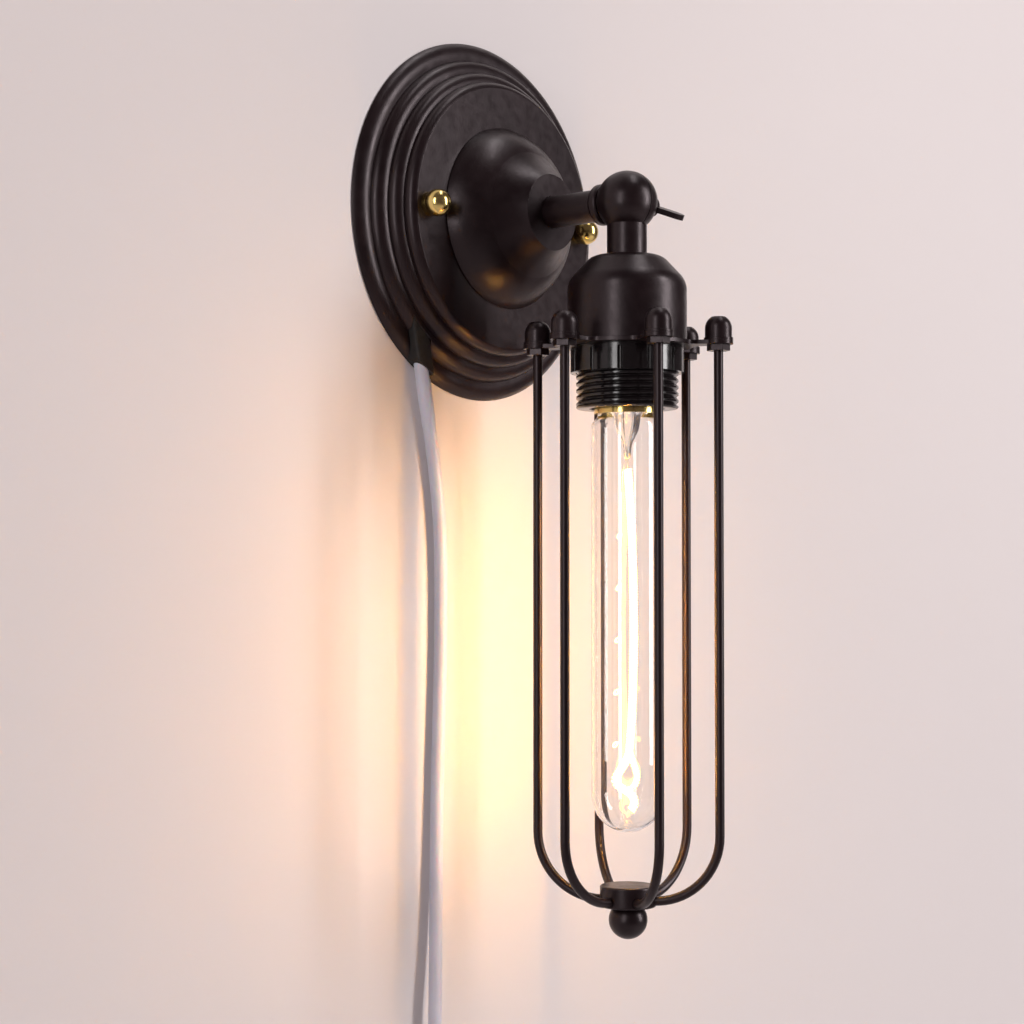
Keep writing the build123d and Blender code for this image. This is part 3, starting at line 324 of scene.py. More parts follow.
BAKELITE = Finish(
    Slot.BAKELITE, (0.0060, 0.0042, 0.0046), (0.0090, 0.0066, 0.0070), (0.12, 0.19), patch=0.009,
    grain=0.0030, depth=0.000020, fine=0.0004, fine_depth=0.000004, edge=0.0002,
    extra=(("Specular IOR Level", 0.50),),
)
CERAMIC = Finish(Slot.CERAMIC, (0.72, 0.69, 0.62), (0.79, 0.77, 0.71), (0.20, 0.34), edge=0.0002)
GLASS = ClearGlass(
    Slot.GLASS, (0.985, 0.985, 0.98), (0.995, 0.995, 0.99), (0.0, 0.012), patch=0.020,
    grain=0.010, depth=0.000020, stretch=(1, 1, 0.15),
)
FILAMENT = Glow(
    Slot.FILAMENT, (1.0, 0.47, 0.085), (1.0, 0.53, 0.11), (0.4, 0.6), patch=0.012, strength=78.0
)
RUBBER = Finish(Slot.RUBBER, (0.008, 0.007, 0.007), (0.014, 0.012, 0.012), (0.62, 0.78), edge=0.0003)
CORD = Finish(
    Slot.CORD, (0.70, 0.68, 0.76), (0.77, 0.75, 0.83), (0.34, 0.46), patch=0.022, grain=0.0025,
    depth=0.00003, fine=0.0004, fine_depth=0.000008, stretch=(1, 1, 0.2),
    extra=(("Subsurface Weight", 0.25), ("Subsurface Scale", 0.004), ("Coat Weight", 0.1)),
)
TIE = Finish(
    Slot.TIE, (0.020, 0.020, 0.022), (0.040, 0.040, 0.043), (0.70, 0.85), grain=0.0007, depth=0.00012,
    fine=0.00025, fine_depth=0.00006, extra=(("Sheen Weight", 0.3),),
)
SHELL = Finish(
    Slot.SHELL, (0.50, 0.53, 0.57), (0.55, 0.58, 0.62), (0.24, 0.34), patch=0.014, grain=0.0012,
    depth=0.00002, edge=0.0003, extra=(("Subsurface Weight", 0.12), ("Subsurface Scale", 0.003)),
)
BLOCK = Finish(Slot.BLOCK, (0.66, 0.65, 0.60), (0.74, 0.73, 0.68), (0.34, 0.46), edge=0.0002)
LEAD = Finish(Slot.LEAD, (0.13, 0.045, 0.022), (0.18, 0.065, 0.032), (0.34, 0.46))


# ---- making and placing pieces ----
def new_object(name: str, data: bpy.types.ID) -> bpy.types.Object:
    """Puts a new object in the scene.

    Args:
        name: the object's name.
        data: its mesh, curve, camera or light.

    Returns:
        The new object.
    """
    made = bpy.data.objects.new(name, data)
    bpy.context.scene.collection.objects.link(made)
    return made


def lofted(name: str, rings: Rings, close: bool = False, sharp: float = 40.0) -> bpy.types.Object:
    """A closed mesh through rings of points.

    Args:
        name: the piece's name.
        rings: arrays of the same number of points each, in order along the piece.
        close: True joins the last ring to the first; False caps both ends.
        sharp: edges that turn by more than this many degrees stay sharp.

    Returns:
        The new object.
    """
    around = len(rings[0])
    points = np.concatenate(rings)
    last = len(rings) if close else len(rings) - 1
    faces = []
    for row in range(last):
        here, there = row * around, (row + 1) % len(rings) * around
        for k in range(around):
            after = (k + 1) % around
            faces.append((here + k, here + after, there + after, there + k))
    if not close:
        faces.append(tuple(reversed(range(around))))
        faces.append(tuple(range(len(points) - around, len(points))))
    mesh = bpy.data.meshes.new(name)
    mesh.from_pydata(points.tolist(), [], faces)
    mesh.validate()
    mesh.shade_smooth()
    mesh.set_sharp_from_angle(angle=math.radians(sharp))
    return new_object(name, mesh)


def circle(radius: float | np.ndarray, steps: int, centre: Sequence[float] = (0, 0, 0)) -> np.ndarray:
    """Points round a level circle.

    Args:
        radius: one radius, or one for each point.
        steps: the number of points.
        centre: the circle's centre.

    Returns:
        The points, one to a row.
    """
    turn = np.linspace(0.0, 2 * math.pi, steps, endpoint=False)
    ring = np.stack([radius * np.cos(turn), radius * np.sin(turn), np.zeros(steps)], axis=1)
    return ring + np.array(centre)


def lathed(
    name: str, outline: Sequence[tuple[float, float]], centre: Vector, steps: int
) -> bpy.types.Object:
    """A mesh turned about the upright axis through centre, from (radius, height) pairs in metres."""
    rings = [circle(radius, steps, (centre.x, centre.y, height)) for radius, height in outline]
    return lofted(name, rings)


def wire(name: str, path: np.ndarray, radius: float, sides: int = 8) -> bpy.types.Object:
    """A round wire along a path.

    Args:
        name: the piece's name.
        path: the path's points, in metres.
        radius: the wire's radius, in metres.
        sides: the points round the wire.

    Returns:
        The new object.
    """
    tangents = np.gradient(path, axis=0)
    tangents /= np.linalg.norm(tangents, axis=1)[:, None]
    side = np.cross(tangents[0], WIRE_SIDE)
    turn = np.linspace(0.0, 2 * math.pi, sides, endpoint=False)
    rings = []
    for point, tangent in zip(path, tangents):
        side = side - tangent * (side @ tangent)
        side /= np.linalg.norm(side)
        up = np.cross(tangent, side)
        rings.append(point + radius * (np.cos(turn)[:, None] * side + np.sin(turn)[:, None] * up))
    return lofted(name, rings, sharp=80.0)


def smooth_path(points: Sequence[Sequence[float]], step: float) -> np.ndarray:
    """A smooth path through a few points, as a Catmull-Rom line.

    Args:
        points: the points that it runs through.
        step: about how far apart its own points are.

    Returns:
        The points of the path, one to a row.
    """
    given = np.array(points, float)
    padded = np.vstack([2 * given[0] - given[1], given, 2 * given[-1] - given[-2]])
    pieces = []
    for a, b, c, d in zip(padded, padded[1:], padded[2:], padded[3:]):
        count = max(2, int(np.linalg.norm(c - b) / step))
        t = np.linspace(0.0, 1.0, count, endpoint=False)[:, None]
        square = 2 * a - 5 * b + 4 * c - d
        cube = 3 * b - a - 3 * c + d
        pieces.append(0.5 * (2 * b + (c - a) * t + square * t**2 + cube * t**3))
    return np.vstack([*pieces, given[-1:]])


def eased(share: float) -> float:
    """0 before 0, 1 after 1 and a smooth rise between."""
    share = min(1.0, max(0.0, share))
    return share * share * (3.0 - 2.0 * share)


def place(piece: bpy.types.Object, finish: Finish, body: Body, *stands_for: str) -> bpy.types.Object:
    """Gives a new piece its finish and its body, and hides the frame's nodes that it stands for.

    Args:
        piece: the new piece.
        finish: its finish.
        body: the body that it rides on.
        stands_for: the frame's nodes that it replaces.

    Returns:
        The piece.
    """
    piece.data.materials.clear()
    piece.data.materials.append(finish.material())
    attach(piece, body.value)
    if stands_for:
        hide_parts(*stands_for)
    return piece


def dress(nodes: Iterable[str], finish: Finish) -> list[bpy.types.Object]:
    """Gives the frame's own nodes a finish.

    Args:
        nodes: their names.
        finish: their finish.

    Returns:
        The nodes' objects.
    """
    dressed = [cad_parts[node] for node in nodes]
    for node in dressed:
        node.material_slots[0].material = finish.material()
    return dressed


# ---- camera ----
@dataclass
class LampCamera:
    """The camera, level with the cage's upper half, on the lamp's left."""

    azimuth: float = -49.48
    elevation: float = -1.757
    place: Point = (-0.6654, -0.5881, -0.1492)
    lens: float = 74.28
    sensor_width: float = 36.0

    def build(self) -> bpy.types.Object:
        """Makes the camera and gives it to the scene.

        Returns:
            The camera.
        """
        data = bpy.data.cameras.new("lamp_camera")
        data.lens = self.lens
        data.sensor_width = self.sensor_width
        camera = new_object("lamp_camera", data)
        turn, rise = math.radians(self.azimuth), math.radians(self.elevation)
        back = Vector((math.sin(turn) * math.cos(rise), -math.cos(turn) * math.cos(rise), math.sin(rise)))
        camera.location = self.place
        camera.rotation_mode = "QUATERNION"
        camera.rotation_quaternion = (-back).to_track_quat("-Z", "Y")
        bpy.context.scene.camera = camera
        return camera


# ---- cord ----
@dataclass
class MainsCord:
    """The mains cord: down the wall, through the switch, into a tied coil and down into the plug.

    The angles of the coil are in degrees, counted along the cord from its first turn's start.
    """

    diameter: float = 5.5 * MM
    length: float = 1.84
    coil_centre: tuple[float, float] = (-18.0 * MM, -474.0 * MM)
    coil_radius: float = 40.8 * MM
    lane: float = 5.6 * MM
    turns: int = 7
    points_a_turn: int = 24
    laps_in: tuple[int, ...] = (0, 1, 2)
    laps_out: tuple[int, ...] = (4, 5)
    lane_change_at: float = 270.0
    lane_change_over: float = 60.0
    layer_change_at: float = 1260.0
    layer_change_over: float = 45.0
    half_lane_at: float = 1305.0
    half_lane_over: float = 40.0
    back_layer: float = -4.85 * MM
    layer_rise: float = 5.4 * MM
    crossing_rise: float = 0.35 * MM
    plug_top: float = -503.0 * MM
    last_drop: float = 13.0 * MM
    in_plug: float = 3.0 * MM
    line_order: int = 3
    line_steps: int = 6
    round_steps: int = 5

    def route_down(self) -> list[Point]:
        """The listed way from inside the strain relief to the coil's first turn.

        Returns:
            Its points, in millimetres.
        """
        return [
            (-34.0, -3.4, -84.2),
            (-29.75, -3.4, -104.8),
            (-26.6, -3.5, -129.0),
            (-25.5, -3.05, -156.0),
            (-26.0, -3.05, -188.0),
            (-27.6, -3.05, -224.0),
            (-28.7, -3.4, -262.0),
            (-30.2, -4.5, -298.0),
            (-32.6, -6.3, -328.0),
            (-32.6, -6.3, -346.0),
            (-32.6, -6.3, -404.0),
            (-32.6, -6.3, -415.0),
            (-39.6, -5.7, -429.0),
            (-52.4, -5.35, -446.0),
            (-58.8, -4.85, -462.0),
        ]

    def lanes(self, turned: float, laps: Sequence[int]) -> float:
        """How many lanes the cord has moved by at an angle, one lane in each of the laps."""
        starts = [self.lane_change_at + FULL_TURN * lap for lap in laps]
        return sum(eased((turned - start) / self.lane_change_over) for start in starts)

    def crossing(self, turned: float) -> float:
        """How far the cord is lifted where it crosses from lane to lane.

        Args:
            turned: the angle along the coil.

        Returns:
            0 for no lift to 1 for the full lift.
        """
        since = (turned - self.lane_change_at) % FULL_TURN
        lift = math.sin(math.radians(since * HALF_TURN / self.lane_change_over))
        return max(0.0, lift) if since < self.lane_change_over else 0.0

    def coil_turns(self) -> list[Point]:
        """The coil: four turns inwards on the wall's side, then three outwards over them.

        Returns:
            Its points, in metres.
        """
        step = FULL_TURN / self.points_a_turn
        stretch = 1.0 / math.cos(math.radians(step / 2))
        points = []
        for k in range(self.turns * self.points_a_turn + 1):
            turned = k * step
            inwards = self.lanes(turned, self.laps_in)
            outwards = self.lanes(turned, self.laps_out)
            over = eased((turned - self.layer_change_at) / self.layer_change_over)
            half_lane = 0.5 * eased((turned - self.half_lane_at) / self.half_lane_over)
            radius = self.coil_radius + self.lane * (outwards + half_lane - inwards)
            depth = self.back_layer - over * (self.layer_rise + self.crossing_rise * self.crossing(turned))
            angle = math.radians(HALF_TURN + turned)
            x = self.coil_centre[0] + stretch * radius * math.cos(angle)
            z = self.coil_centre[1] + stretch * radius * math.sin(angle)
            points.append((x, depth, z))
        return points

    def build(self) -> list[bpy.types.Object]:
        """Makes the cord as one smooth line and dresses its strain relief.

        Returns:
            The cord, then the strain relief.
        """
        down = [tuple(MM * value for value in point) for point in self.route_down()]
        coil = self.coil_turns()
        x, depth, z = coil[-1]
        over = depth - self.crossing_rise
        foot = self.plug_top - self.in_plug
        end = [(x, over, z - self.last_drop), (x, depth, self.plug_top), (x, depth, foot)]
        points = down + coil + end
        curve = bpy.data.curves.new("mains_cord", "CURVE")
        curve.dimensions = "3D"
        spline = curve.splines.new("NURBS")
        spline.points.add(len(points) - 1)
        for point, target in zip(points, spline.points):
            target.co = (*point, 1.0)
        spline.order_u = self.line_order
        spline.use_endpoint_u = True
        spline.resolution_u = self.line_steps
        curve.bevel_depth = self.diameter / 2
        curve.bevel_resolution = self.round_steps
        curve.use_fill_caps = True
        cord = new_object("mains_cord", curve)
        place(cord, CORD, Body.WALL, "cord_upper", "cord_lower", "cord_coil", "cord_end")
        return [cord, *dress(["strain_relief"], CORD)]


# the plug's outline: share of its height from the top, shares of its width and depth, squareness
PLUG_STATIONS = (
    (0.00, 0.235, 0.38, 2.0), (0.02, 0.245, 0.40, 2.0), (0.14, 0.29, 0.46, 2.0), (0.25, 0.34, 0.54, 2.1),
    (0.31, 0.44, 0.64, 2.3), (0.37, 0.64, 0.82, 2.6), (0.44, 0.82, 0.94, 3.0), (0.52, 0.93, 0.985, 3.4),
    (0.62, 0.985, 1.0, 3.8), (0.74, 1.0, 1.0, 4.0), (0.90, 1.0, 1.0, 4.2), (0.97, 0.99, 0.985, 4.2),
    (0.99, 0.965, 0.95, 4.2), (1.00, 0.93, 0.90, 4.2),
)
# where its rings lie: first share, last share, number of rings
PLUG_RINGS = ((0, 0.5, 26), (0.51, 0.95, 60), (0.955, 1, 12))


@dataclass
class CordFittings:
    """The switch on the cord, the coil's strap and the plug."""

    around: int = 64
    grip_ribs: int = 5
    rib_depth: float = 0.55 * MM
    rib_start: float = 0.56
    rib_zone: float = 0.34
    rib_reach: float = 1.35
    rib_fade: float = 0.62

    def section(self, half_width: float, half_depth: float, squareness: float) -> np.ndarray:
        """A level outline between an ellipse and a rounded oblong.

        Args:
            half_width: half its width.
            half_depth: half its depth.
            squareness: 2 for an ellipse, 4 and more for an oblong.

        Returns:
            The points of the outline.
        """
        turn = np.linspace(0.0, 2 * math.pi, self.around, endpoint=False)
        power = 2.0 / squareness
        x = half_width * np.sign(np.cos(turn)) * np.abs(np.cos(turn)) ** power
        y = half_depth * np.sign(np.sin(turn)) * np.abs(np.sin(turn)) ** power
        return np.stack([x, y, np.zeros(self.around)], axis=1)

    def plug(self) -> bpy.types.Object:
        """The moulded plug: a tapered nose, waisted shoulders, and finger ribs on both broad sides.

        Returns:
            The plug.
        """
        low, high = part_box("plug_body")
        middle = (low + high) / 2
        half_width, half_depth, tall = (high.x - low.x) / 2, (high.y - low.y) / 2, high.z - low.z
        shares = np.concatenate([np.linspace(*part) for part in PLUG_RINGS])
        known = np.array(PLUG_STATIONS)
        rings = []
        for share in shares:
            wide, deep, square = (np.interp(share, known[:, 0], known[:, k]) for k in (1, 2, 3))
            ring = self.section(half_width * wide, half_depth * deep, square)
            along = (share - self.rib_start) / self.rib_zone
            if 0.0 < along < 1.0:
                rib = math.sin(math.pi * along * self.grip_ribs) ** 2
                off_middle = np.abs(ring[:, 0]) / (self.rib_fade * half_width)
                flat = np.clip(self.rib_reach - off_middle, 0.0, 1.0)
                ring[:, 1] -= np.sign(ring[:, 1]) * self.rib_depth * rib * flat
            rings.append(ring + np.array((middle.x, middle.y, high.z - share * tall)))
        piece = lofted("plug_grip", rings)
        return place(piece, SHELL, Body.WALL, "plug_body")

    def build(self) -> list[bpy.types.Object]:
        """Makes the plug and dresses the rest."""
        kept = dress(["switch_body", "switch_rocker"], SHELL) + dress(["plug_blades"], BRASS)
        return [self.plug(), *kept, *dress(["coil_tie"], TIE)]


# ---- wall plate, bell and arm ----
@dataclass
class WallMount:
    """The bar on the wall, the stepped plate with its brass ball nuts, the bell and the arm."""

    def build(self) -> list[bpy.types.Object]:
        """Dresses the fixed pieces, whose shapes are the frame's own.

        Returns:
            The pieces.
        """
        painted = dress(["wall_plate", "bell", "arm_tube", "arm_ball_half"], PAINT)
        steel = dress(["mounting_bar", "plate_studs", "stud_nuts", "terminal_screws", "arm_nuts"], ZINC)
        wiring = dress(["arm_leads", "cord_cores"], LEAD) + dress(["terminal_block"], BLOCK)
        return painted + steel + wiring + dress(["ball_nuts"], BRASS) + dress(["rim_grommet"], RUBBER)


# ---- head: ball half, cup and lampholder ----
@dataclass
class LampHead:
    """The tilting half ball with its wing screw, the cup, and the screwed lampholder in it."""

    radius: float = 20.3 * MM
    pitch: float = 2.7 * MM
    thread_depth: float = 0.95 * MM
    thread_height: float = 13.9 * MM
    plain_foot: float = 0.7 * MM
    mouth: float = 14.55 * MM
    wide_bore: float = 17.3 * MM
    flange_low: float = 26.3 * MM
    flange_height: float = 2.0 * MM
    around: int = 144
    groove_share: float = 0.68
    groove_power: float = 0.8
    run_in: float = 0.6 * MM
    run_out: float = 0.8 * MM
    foot_chamfer: float = 0.5 * MM
    plain_top: float = 1.2 * MM
    ring_step: float = 0.13 * MM
    mouth_bevel: tuple[float, float] = (0.6 * MM, 1.0 * MM)

    def outside(self, above_foot: float) -> np.ndarray:
        """The screwed skirt's radius all round, at one height.

        Args:
            above_foot: the height above the skirt's foot.

        Returns:
            One radius for each point round it.
        """
        turn = np.linspace(0.0, 1.0, self.around, endpoint=False)
        phase = np.mod((above_foot - self.plain_foot) / self.pitch - turn, 1.0)
        off_groove = np.abs(2.0 * phase - 1.0)
        groove = np.clip(1.0 - off_groove / self.groove_share, 0.0, 1.0) ** self.groove_power
        start = eased((above_foot - self.plain_foot) / self.run_in)
        end = 1.0 - eased((above_foot - self.thread_height) / self.run_out)
        chamfer = max(0.0, self.foot_chamfer - above_foot)
        return self.radius - chamfer - self.thread_depth * groove * start * end

    def skirt(self) -> bpy.types.Object:
        """The moulded skirt with a true helical thread, a flange on the cage plate and its bore.

        Returns:
            The skirt.
        """
        low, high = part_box("lampholder_skirt")
        axis = (low + high) / 2
        foot, tall = low.z, high.z - low.z
        flange = self.flange_low
        threaded = np.arange(0.0, self.thread_height + self.plain_top, self.ring_step)
        outline = [(self.outside(height), height) for height in threaded]
        outer, top = high.x - axis.x, flange + self.flange_height
        bevel_in, bevel_up = self.mouth_bevel
        outline += [
            (self.radius, flange), (outer, flange), (outer, top), (self.radius, top), (self.radius, tall),
            (self.wide_bore, tall), (self.wide_bore, top), (self.mouth, top), (self.mouth, bevel_up),
            (self.mouth + bevel_in, 0.0),
        ]
        rings = [
            circle(radius, self.around, (axis.x, axis.y, foot + height)) for radius, height in outline
        ]
        piece = lofted("screwed_skirt", rings, close=True, sharp=50.0)
        return place(piece, BAKELITE, Body.HEAD, "lampholder_skirt")

    def build(self) -> list[bpy.types.Object]:
        """Makes the screwed skirt and dresses the rest.

        Returns:
            The pieces.
        """
        painted = dress(["head_ball_half", "holder_cup", "wing_screw"], PAINT)
        moulded = dress(["lampholder_cap", "shade_ring"], BAKELITE)
        metal = dress(["centre_contact", "screw_shell", "holder_terminals"], BRASS) + dress(["cup_nut"], ZINC)
        inside = dress(["contact_insert"], CERAMIC) + dress(["holder_leads"], LEAD)
        return [self.skirt(), *painted, *moulded, *metal, *inside]


# ---- bulb ----
# lines inside the bulb, in millimetres: across, towards the back, and height
FILAMENT_LINE = (
    (0.1, 0, -106.6), (0.7, 0, -114), (1.6, 0, -130), (2.2, 0, -150), (2.4, 0, -172), (2.0, 0, -194),
    (1.2, 0, -210), (0.2, 0.2, -219.5), (-2.6, 0.6, -225.0), (-4.9, 0.4, -229.0), (-3.6, 0, -231.6),
    (-0.8, -0.2, -233.4), (1.8, -0.2, -235.6), (2.5, 0, -238.6), (1.2, 0, -241.2),
)
RETURN_LINE = (
    (0.4, 1.4, -217.0), (2.4, 1.6, -223.0), (3.7, 1.4, -228.0), (2.6, 0.9, -231.6), (0.4, 0.4, -233.2),
)
THIN_LINE = ((-2.6, 0.4, -116.0), (-2.9, 0.4, -150.0), (-3.0, 0.4, -200.0), (-2.6, 0.2, -226.0))
LEAD_LINE = (
    (3.4, 0, -82.5), (3.1, 0, -88.0), (2.0, 0, -93.0), (0.7, 0.2, -97.0), (0.25, -0.4, -100.0),
    (-0.35, 0.3, -103.0), (0.1, 0, -106.8),
)
ROD_LINE = (
    (-0.2, 1.0, -101.0), (-1.4, 1.2, -106.0), (-2.1, 1.2, -114.0), (-2.3, 1.2, -170.0),
    (-2.6, 1.0, -232.0), (-2.4, 0.6, -240.0), (-1.6, 0, -245.0), (-0.4, 0, -246.2),
)
# the stem's outline, in millimetres: radius and height
STEM_OUTLINE = (
    (0.2, -82.0), (9.6, -82.0), (9.9, -82.3), (9.0, -83.0), (6.6, -84.0), (5.5, -85.6), (5.2, -88.4),
    (4.5, -91.4), (3.2, -94.0), (2.1, -96.2), (1.6, -98.6), (1.4, -101.2), (0.9, -102.4), (0.2, -102.8),
)


@dataclass
class TubeBulb:
    """The long tube bulb: its stem, a coiled hairpin filament, its anchors and its cap.

    The eyes' places and sizes are in millimetres, in the axes of the lines above.
    """

    facing: float = -49.5
    coil_radius: float = 1.30 * MM
    coil_wire: float = 0.36 * MM
    coil_pitch: float = 1.05 * MM
    lead_wire: float = 0.32 * MM
    anchor_wire: float = 0.20 * MM
    anchor_gap: float = 20.6 * MM
    points_a_coil: int = 12
    strand_step: float = 0.6 * MM
    strand_sides: int = 6
    return_share: float = 0.7
    thin_share: float = 0.28
    thin_wire: float = 0.11 * MM
    lead_step: float = 0.5 * MM
    rod_step: float = 1.0 * MM
    stem_steps: int = 48
    eyes: int = 5
    eye_points: int = 40
    eye_turn: float = 3.4 * math.pi
    eye_top: float = -133.0
    eye_reach: tuple[float, float] = (0.5, 0.45)
    eye_middle: tuple[float, float] = (-2.6, 0.9)
    eye_size: tuple[float, float, float] = (0.85, 0.5, 0.9)
    eye_lean: float = 0.6
    eye_wire_share: float = 1.3
    rod_place: tuple[float, float] = (-2.3, 1.2)

    def across(self, points: Sequence[Point]) -> np.ndarray:
        """Turns points of the hairpin's own upright plane into the frame's axes.

        Args:
            points: (across, towards the back, height) in millimetres.

        Returns:
            The points in metres, one to a row.
        """
        low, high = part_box("bulb_glass")
        turn = math.radians(self.facing)
        given = MM * np.array(points, float)
        x = (low.x + high.x) / 2 + given[:, 0] * math.cos(turn) - given[:, 1] * math.sin(turn)
        y = (low.y + high.y) / 2 + given[:, 0] * math.sin(turn) + given[:, 1] * math.cos(turn)
        return np.stack([x, y, given[:, 2]], axis=1)

    def coiled(self, path: np.ndarray, radius: float) -> np.ndarray:
        """A helix along a path.

        Args:
            path: the path, in metres.
            radius: the helix's radius.

        Returns:
            The points of the helix.
        """
        runs = np.linalg.norm(np.diff(path, axis=0), axis=1)
        gone = np.concatenate([[0.0], np.cumsum(runs)])
        count = int(gone[-1] / self.coil_pitch * self.points_a_coil)
        along = np.linspace(0.0, gone[-1], count)
        line = np.stack([np.interp(along, gone, path[:, k]) for k in range(3)], axis=1)
        tangent = np.gradient(line, axis=0)
        tangent /= np.linalg.norm(tangent, axis=1)[:, None]
        side = np.cross(tangent, COIL_SIDE)
        side /= np.linalg.norm(side, axis=1)[:, None]
        up = np.cross(tangent, side)
        angle = (2 * math.pi * along / self.coil_pitch)[:, None]
        return line + radius * (np.cos(angle) * side + np.sin(angle) * up)

    def strand(self, name: str, line: Sequence[Point], coil: float, thick: float) -> bpy.types.Object:
        """A coiled strand of wire.

        Args:
            name: the strand's name.
            line: the line that it is coiled round.
            coil: the coil's radius.
            thick: the wire's radius.

        Returns:
            The strand.
        """
        path = smooth_path(self.across(line).tolist(), self.strand_step)
        return wire(name, self.coiled(path, coil), thick, self.strand_sides)

    def filament(self) -> list[bpy.types.Object]:
        """The coiled strand from the leads down to the lower hook, looped round it and ended on the lead.

        Returns:
            The strand, its loop and the thin strand beside it.
        """
        back, thin = self.return_share * self.coil_radius, self.thin_share * self.coil_radius
        strand = self.strand("filament_coil", FILAMENT_LINE, self.coil_radius, self.coil_wire)
        loop = self.strand("filament_return", RETURN_LINE, back, self.coil_wire)
        second = self.strand("filament_thin", THIN_LINE, thin, self.thin_wire)
        place(strand, FILAMENT, Body.HEAD, "bulb_filament")
        return [strand, place(loop, FILAMENT, Body.HEAD), place(second, FILAMENT, Body.HEAD)]

    def supports(self) -> list[bpy.types.Object]:
        """Two leads that meet under the stem, a long straight wire with small eyes, and the lower hook.

        Returns:
            The leads, the long wire and its eyes.
        """
        pieces = []
        for number, side in enumerate((-1, 1), start=1):
            line = self.across([(side * x, side * y, height) for x, y, height in LEAD_LINE])
            path = smooth_path(line.tolist(), self.lead_step)
            pieces.append(wire(f"lead_in_{number}", path, self.lead_wire))
        rod = smooth_path(self.across(ROD_LINE).tolist(), self.rod_step)
        pieces.append(wire("support_rod", rod, self.anchor_wire))
        for piece in pieces:
            place(piece, ZINC, Body.HEAD)
        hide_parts("bulb_supports")
        return pieces + [self.eye(number) for number in range(self.eyes)]

    def eye(self, number: int) -> bpy.types.Object:
        """One small eye of wire that glows at the rod's side, a little longer towards the foot.

        Args:
            number: its place on the rod, from 0 at the top.

        Returns:
            The eye.
        """
        height = self.eye_top - number * self.anchor_gap / MM
        reach = self.eye_reach[0] + self.eye_reach[1] * number
        turn = np.linspace(0.0, self.eye_turn, self.eye_points)
        (middle_x, middle_y), (wide, deep, tall) = self.eye_middle, self.eye_size
        x = middle_x - reach + wide * np.cos(turn)
        y = middle_y + deep * np.sin(turn)
        loops = np.stack([x, y, height + tall * np.sin(turn + self.eye_lean)], axis=1)
        rod_x, rod_y = self.rod_place
        arm = np.array([(rod_x, rod_y, height + 1.2), (rod_x - 0.5 * reach, 1.1, height + 0.9)])
        path = self.across(np.vstack([arm, loops]).tolist())
        thick = self.eye_wire_share * self.anchor_wire
        eye = wire(f"anchor_eye_{number + 1}", path, thick, self.strand_sides)
        return place(eye, FILAMENT, Body.HEAD)

    def stem(self) -> bpy.types.Object:
        """The glass foot: a flare in the cap, drawn in to a narrow pinch that holds the leads.

        Returns:
            The stem.
        """
        low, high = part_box("bulb_stem")
        axis = (low + high) / 2
        outline = [(MM * radius, MM * height) for radius, height in STEM_OUTLINE]
        piece = lathed("glass_stem", outline, axis, self.stem_steps)
        return place(piece, GLASS, Body.HEAD, "bulb_stem")

    def build(self) -> list[bpy.types.Object]:
        """Makes what is inside the glass and dresses the glass and the cap.

        Returns:
            The pieces.
        """
        glass = dress(["bulb_glass"], GLASS)
        stem = self.stem()
        for clear in (*glass, stem):
            clear.visible_shadow = False
        cap = dress(["bulb_cap"], BRASS) + dress(["bulb_insulator"], BAKELITE)
        tip = dress(["bulb_tip_contact"], ZINC)
        return [*self.filament(), *self.supports(), stem, *glass, *cap, *tip]


# ---- cage ----
@dataclass
class WireCage:
    """The six-armed plate, its domed nuts, the bent wires, the collar and the ball at its foot."""

    def build(self) -> list[bpy.types.Object]:
        """Dresses the cage, whose shapes are the frame's own."""
        wires = sorted(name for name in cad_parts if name.startswith("cage_wire_"))
        return dress(["cage_plate", "cap_nuts", "lock_nuts", "bottom_collar", "bottom_ball", *wires], PAINT)


# ---- studio ----
@dataclass(frozen=True)
class Softbox:
    """One soft lamp of the studio, aimed at a point on the object."""

    name: str
    place: Point
    size: tuple[float, float]
    power: float
    tint: Colour = (1.0, 0.97, 0.97)
    target: Point = (0.0, -0.06, -0.12)

    def build(self) -> bpy.types.Object:
        """Makes the lamp.

        Returns:
            The lamp.
        """
        data = bpy.data.lights.new(self.name, "AREA")
        data.shape = "RECTANGLE"
        data.size, data.size_y = self.size
        data.energy = self.power
        data.color = self.tint
        made = new_object(self.name, data)
        made.location = self.place
        made.rotation_mode = "QUATERNION"
        made.rotation_quaternion = (Vector(self.target) - Vector(self.place)).to_track_quat("-Z", "Y")
        return made


SOFTBOXES = (
    Softbox("right_softbox", (0.76, -1.46, 0.30), (0.34, 1.4), 20.0),
    Softbox("left_softbox", (-1.68, -0.44, 0.20), (0.30, 1.3), 9.0),
    Softbox("top_softbox", (0.5, -0.45, 2.2), (1.8, 0.4), 11.0),
    Softbox("back_softbox", (0.5, 2.2, 0.7), (1.6, 1.2), 9.0),
)


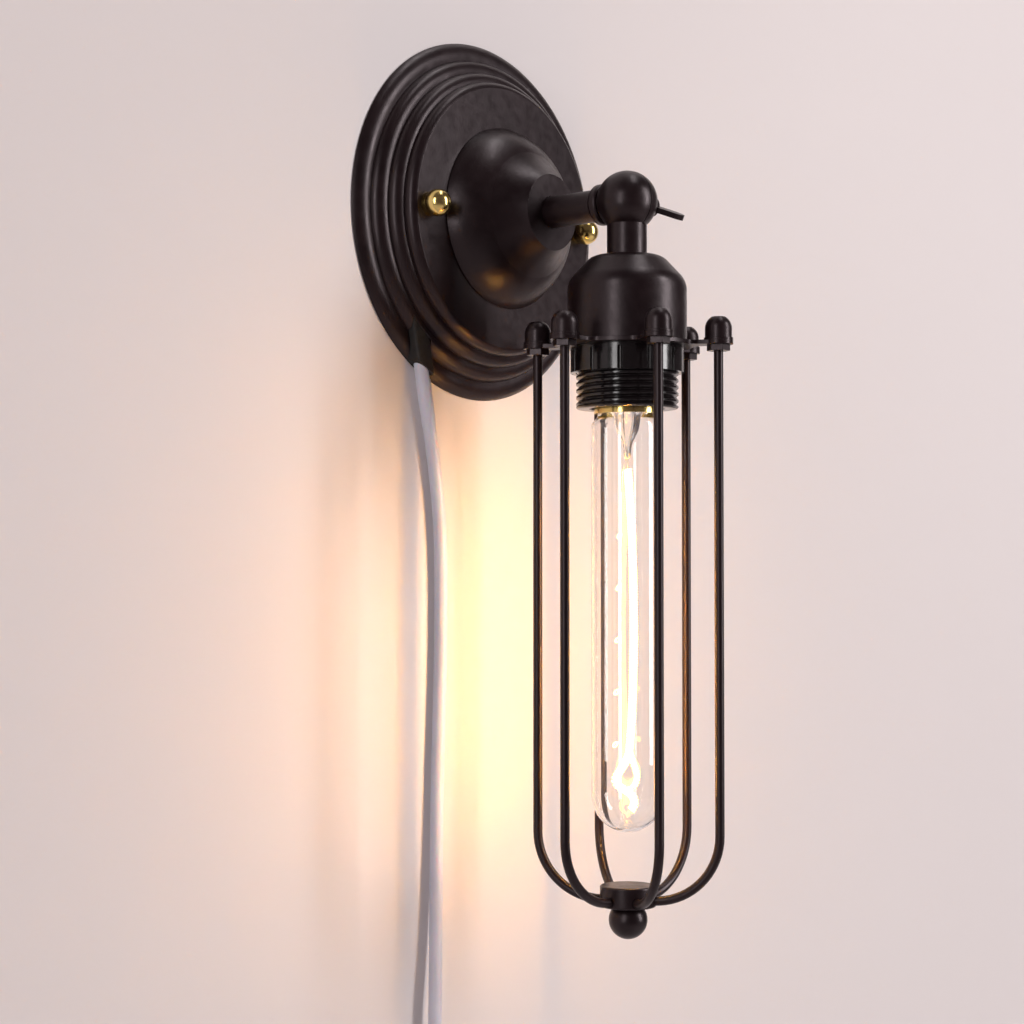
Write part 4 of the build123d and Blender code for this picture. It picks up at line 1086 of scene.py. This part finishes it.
@dataclass
class Studio:
    """A pale wall behind the lamp, a pale floor, and soft light."""

    wall_gap: float = 0.4 * MM
    floor_height: float = -0.95
    half_width: float = 4.0
    wall_top: float = 3.0
    pale: Colour = (0.815, 0.760, 0.755)
    second_share: float = 0.985
    patch: float = 0.5
    roughness: float = 0.9
    gloss: float = 0.1
    room_tint: Colour = (1.0, 0.80, 0.84)
    room_strength: float = 0.10

    def surface(self, name: str, corners: Sequence[Point]) -> bpy.types.Object:
        """A flat stage surface with a plain matt finish.

        Args:
            name: the surface's name.
            corners: its corners, in order round it.

        Returns:
            The surface.
        """
        mesh = bpy.data.meshes.new(name)
        mesh.from_pydata([tuple(corner) for corner in corners], [], [tuple(range(len(corners)))])
        made = new_object(name, mesh)
        shader = Shader(name + "_matt")
        second = tuple(self.second_share * value for value in self.pale)
        shader.set("Base Color", shader.tones(shader.spots(self.patch), self.pale, second))
        shader.set("Roughness", self.roughness)
        shader.set("Specular IOR Level", self.gloss)
        mesh.materials.append(shader.material)
        return made

    def open_behind(self, wall: bpy.types.Object) -> None:
        """Makes the wall clear from behind, so that the lamp's back can be seen and is lit.

        Args:
            wall: the wall.
        """
        tree = wall.data.materials[0].node_tree
        principled = next(node for node in tree.nodes if node.type == "BSDF_PRINCIPLED")
        output = next(node for node in tree.nodes if node.type == "OUTPUT_MATERIAL")
        side = tree.nodes.new("ShaderNodeNewGeometry")
        clear = tree.nodes.new("ShaderNodeBsdfTransparent")
        mix = tree.nodes.new("ShaderNodeMixShader")
        tree.links.new(side.outputs["Backfacing"], mix.inputs[0])
        tree.links.new(principled.outputs[0], mix.inputs[1])
        tree.links.new(clear.outputs[0], mix.inputs[2])
        tree.links.new(mix.outputs[0], output.inputs[0])
        wall.visible_diffuse = False
        wall.visible_shadow = False

    def build(self) -> None:
        """Makes the wall, the floor, the lamps and the dim room light."""
        wide, low, top, gap = self.half_width, self.floor_height, self.wall_top, self.wall_gap
        upright = [(-wide, gap, low), (wide, gap, low), (wide, gap, top), (-wide, gap, top)]
        self.open_behind(self.surface("pale_wall", upright))
        level = [(-wide, -wide, low), (wide, -wide, low), (wide, wide, low), (-wide, wide, low)]
        self.surface("pale_floor", level)
        for softbox in SOFTBOXES:
            softbox.build()
        world = bpy.data.worlds.new("room_light")
        world.use_nodes = True
        background = world.node_tree.nodes["Background"]
        background.inputs["Color"].default_value = (*self.room_tint, 1.0)
        background.inputs["Strength"].default_value = self.room_strength
        bpy.context.scene.world = world
        bpy.context.scene.view_settings.view_transform = "Standard"


def report(assembly: object, pieces: Iterable[bpy.types.Object]) -> None:
    """Logs each piece of a sub-assembly."""
    for piece in pieces:
        LOG.info("%s: %s", type(assembly).__name__, piece.name)


def main() -> None:
    """Builds the camera and the cord first, then every other sub-assembly, and the studio last."""
    logging.basicConfig(level=logging.INFO, format="%(message)s")
    LampCamera().build()
    mains = MainsCord()
    cord_pieces = mains.build()
    report(mains, cord_pieces)
    fittings = CordFittings()
    fitting_pieces = fittings.build()
    report(fittings, fitting_pieces)
    for assembly in (WallMount(), LampHead(), TubeBulb(), WireCage()):
        report(assembly, assembly.build())
    Studio().build()


if __name__ == "__main__":
    main()
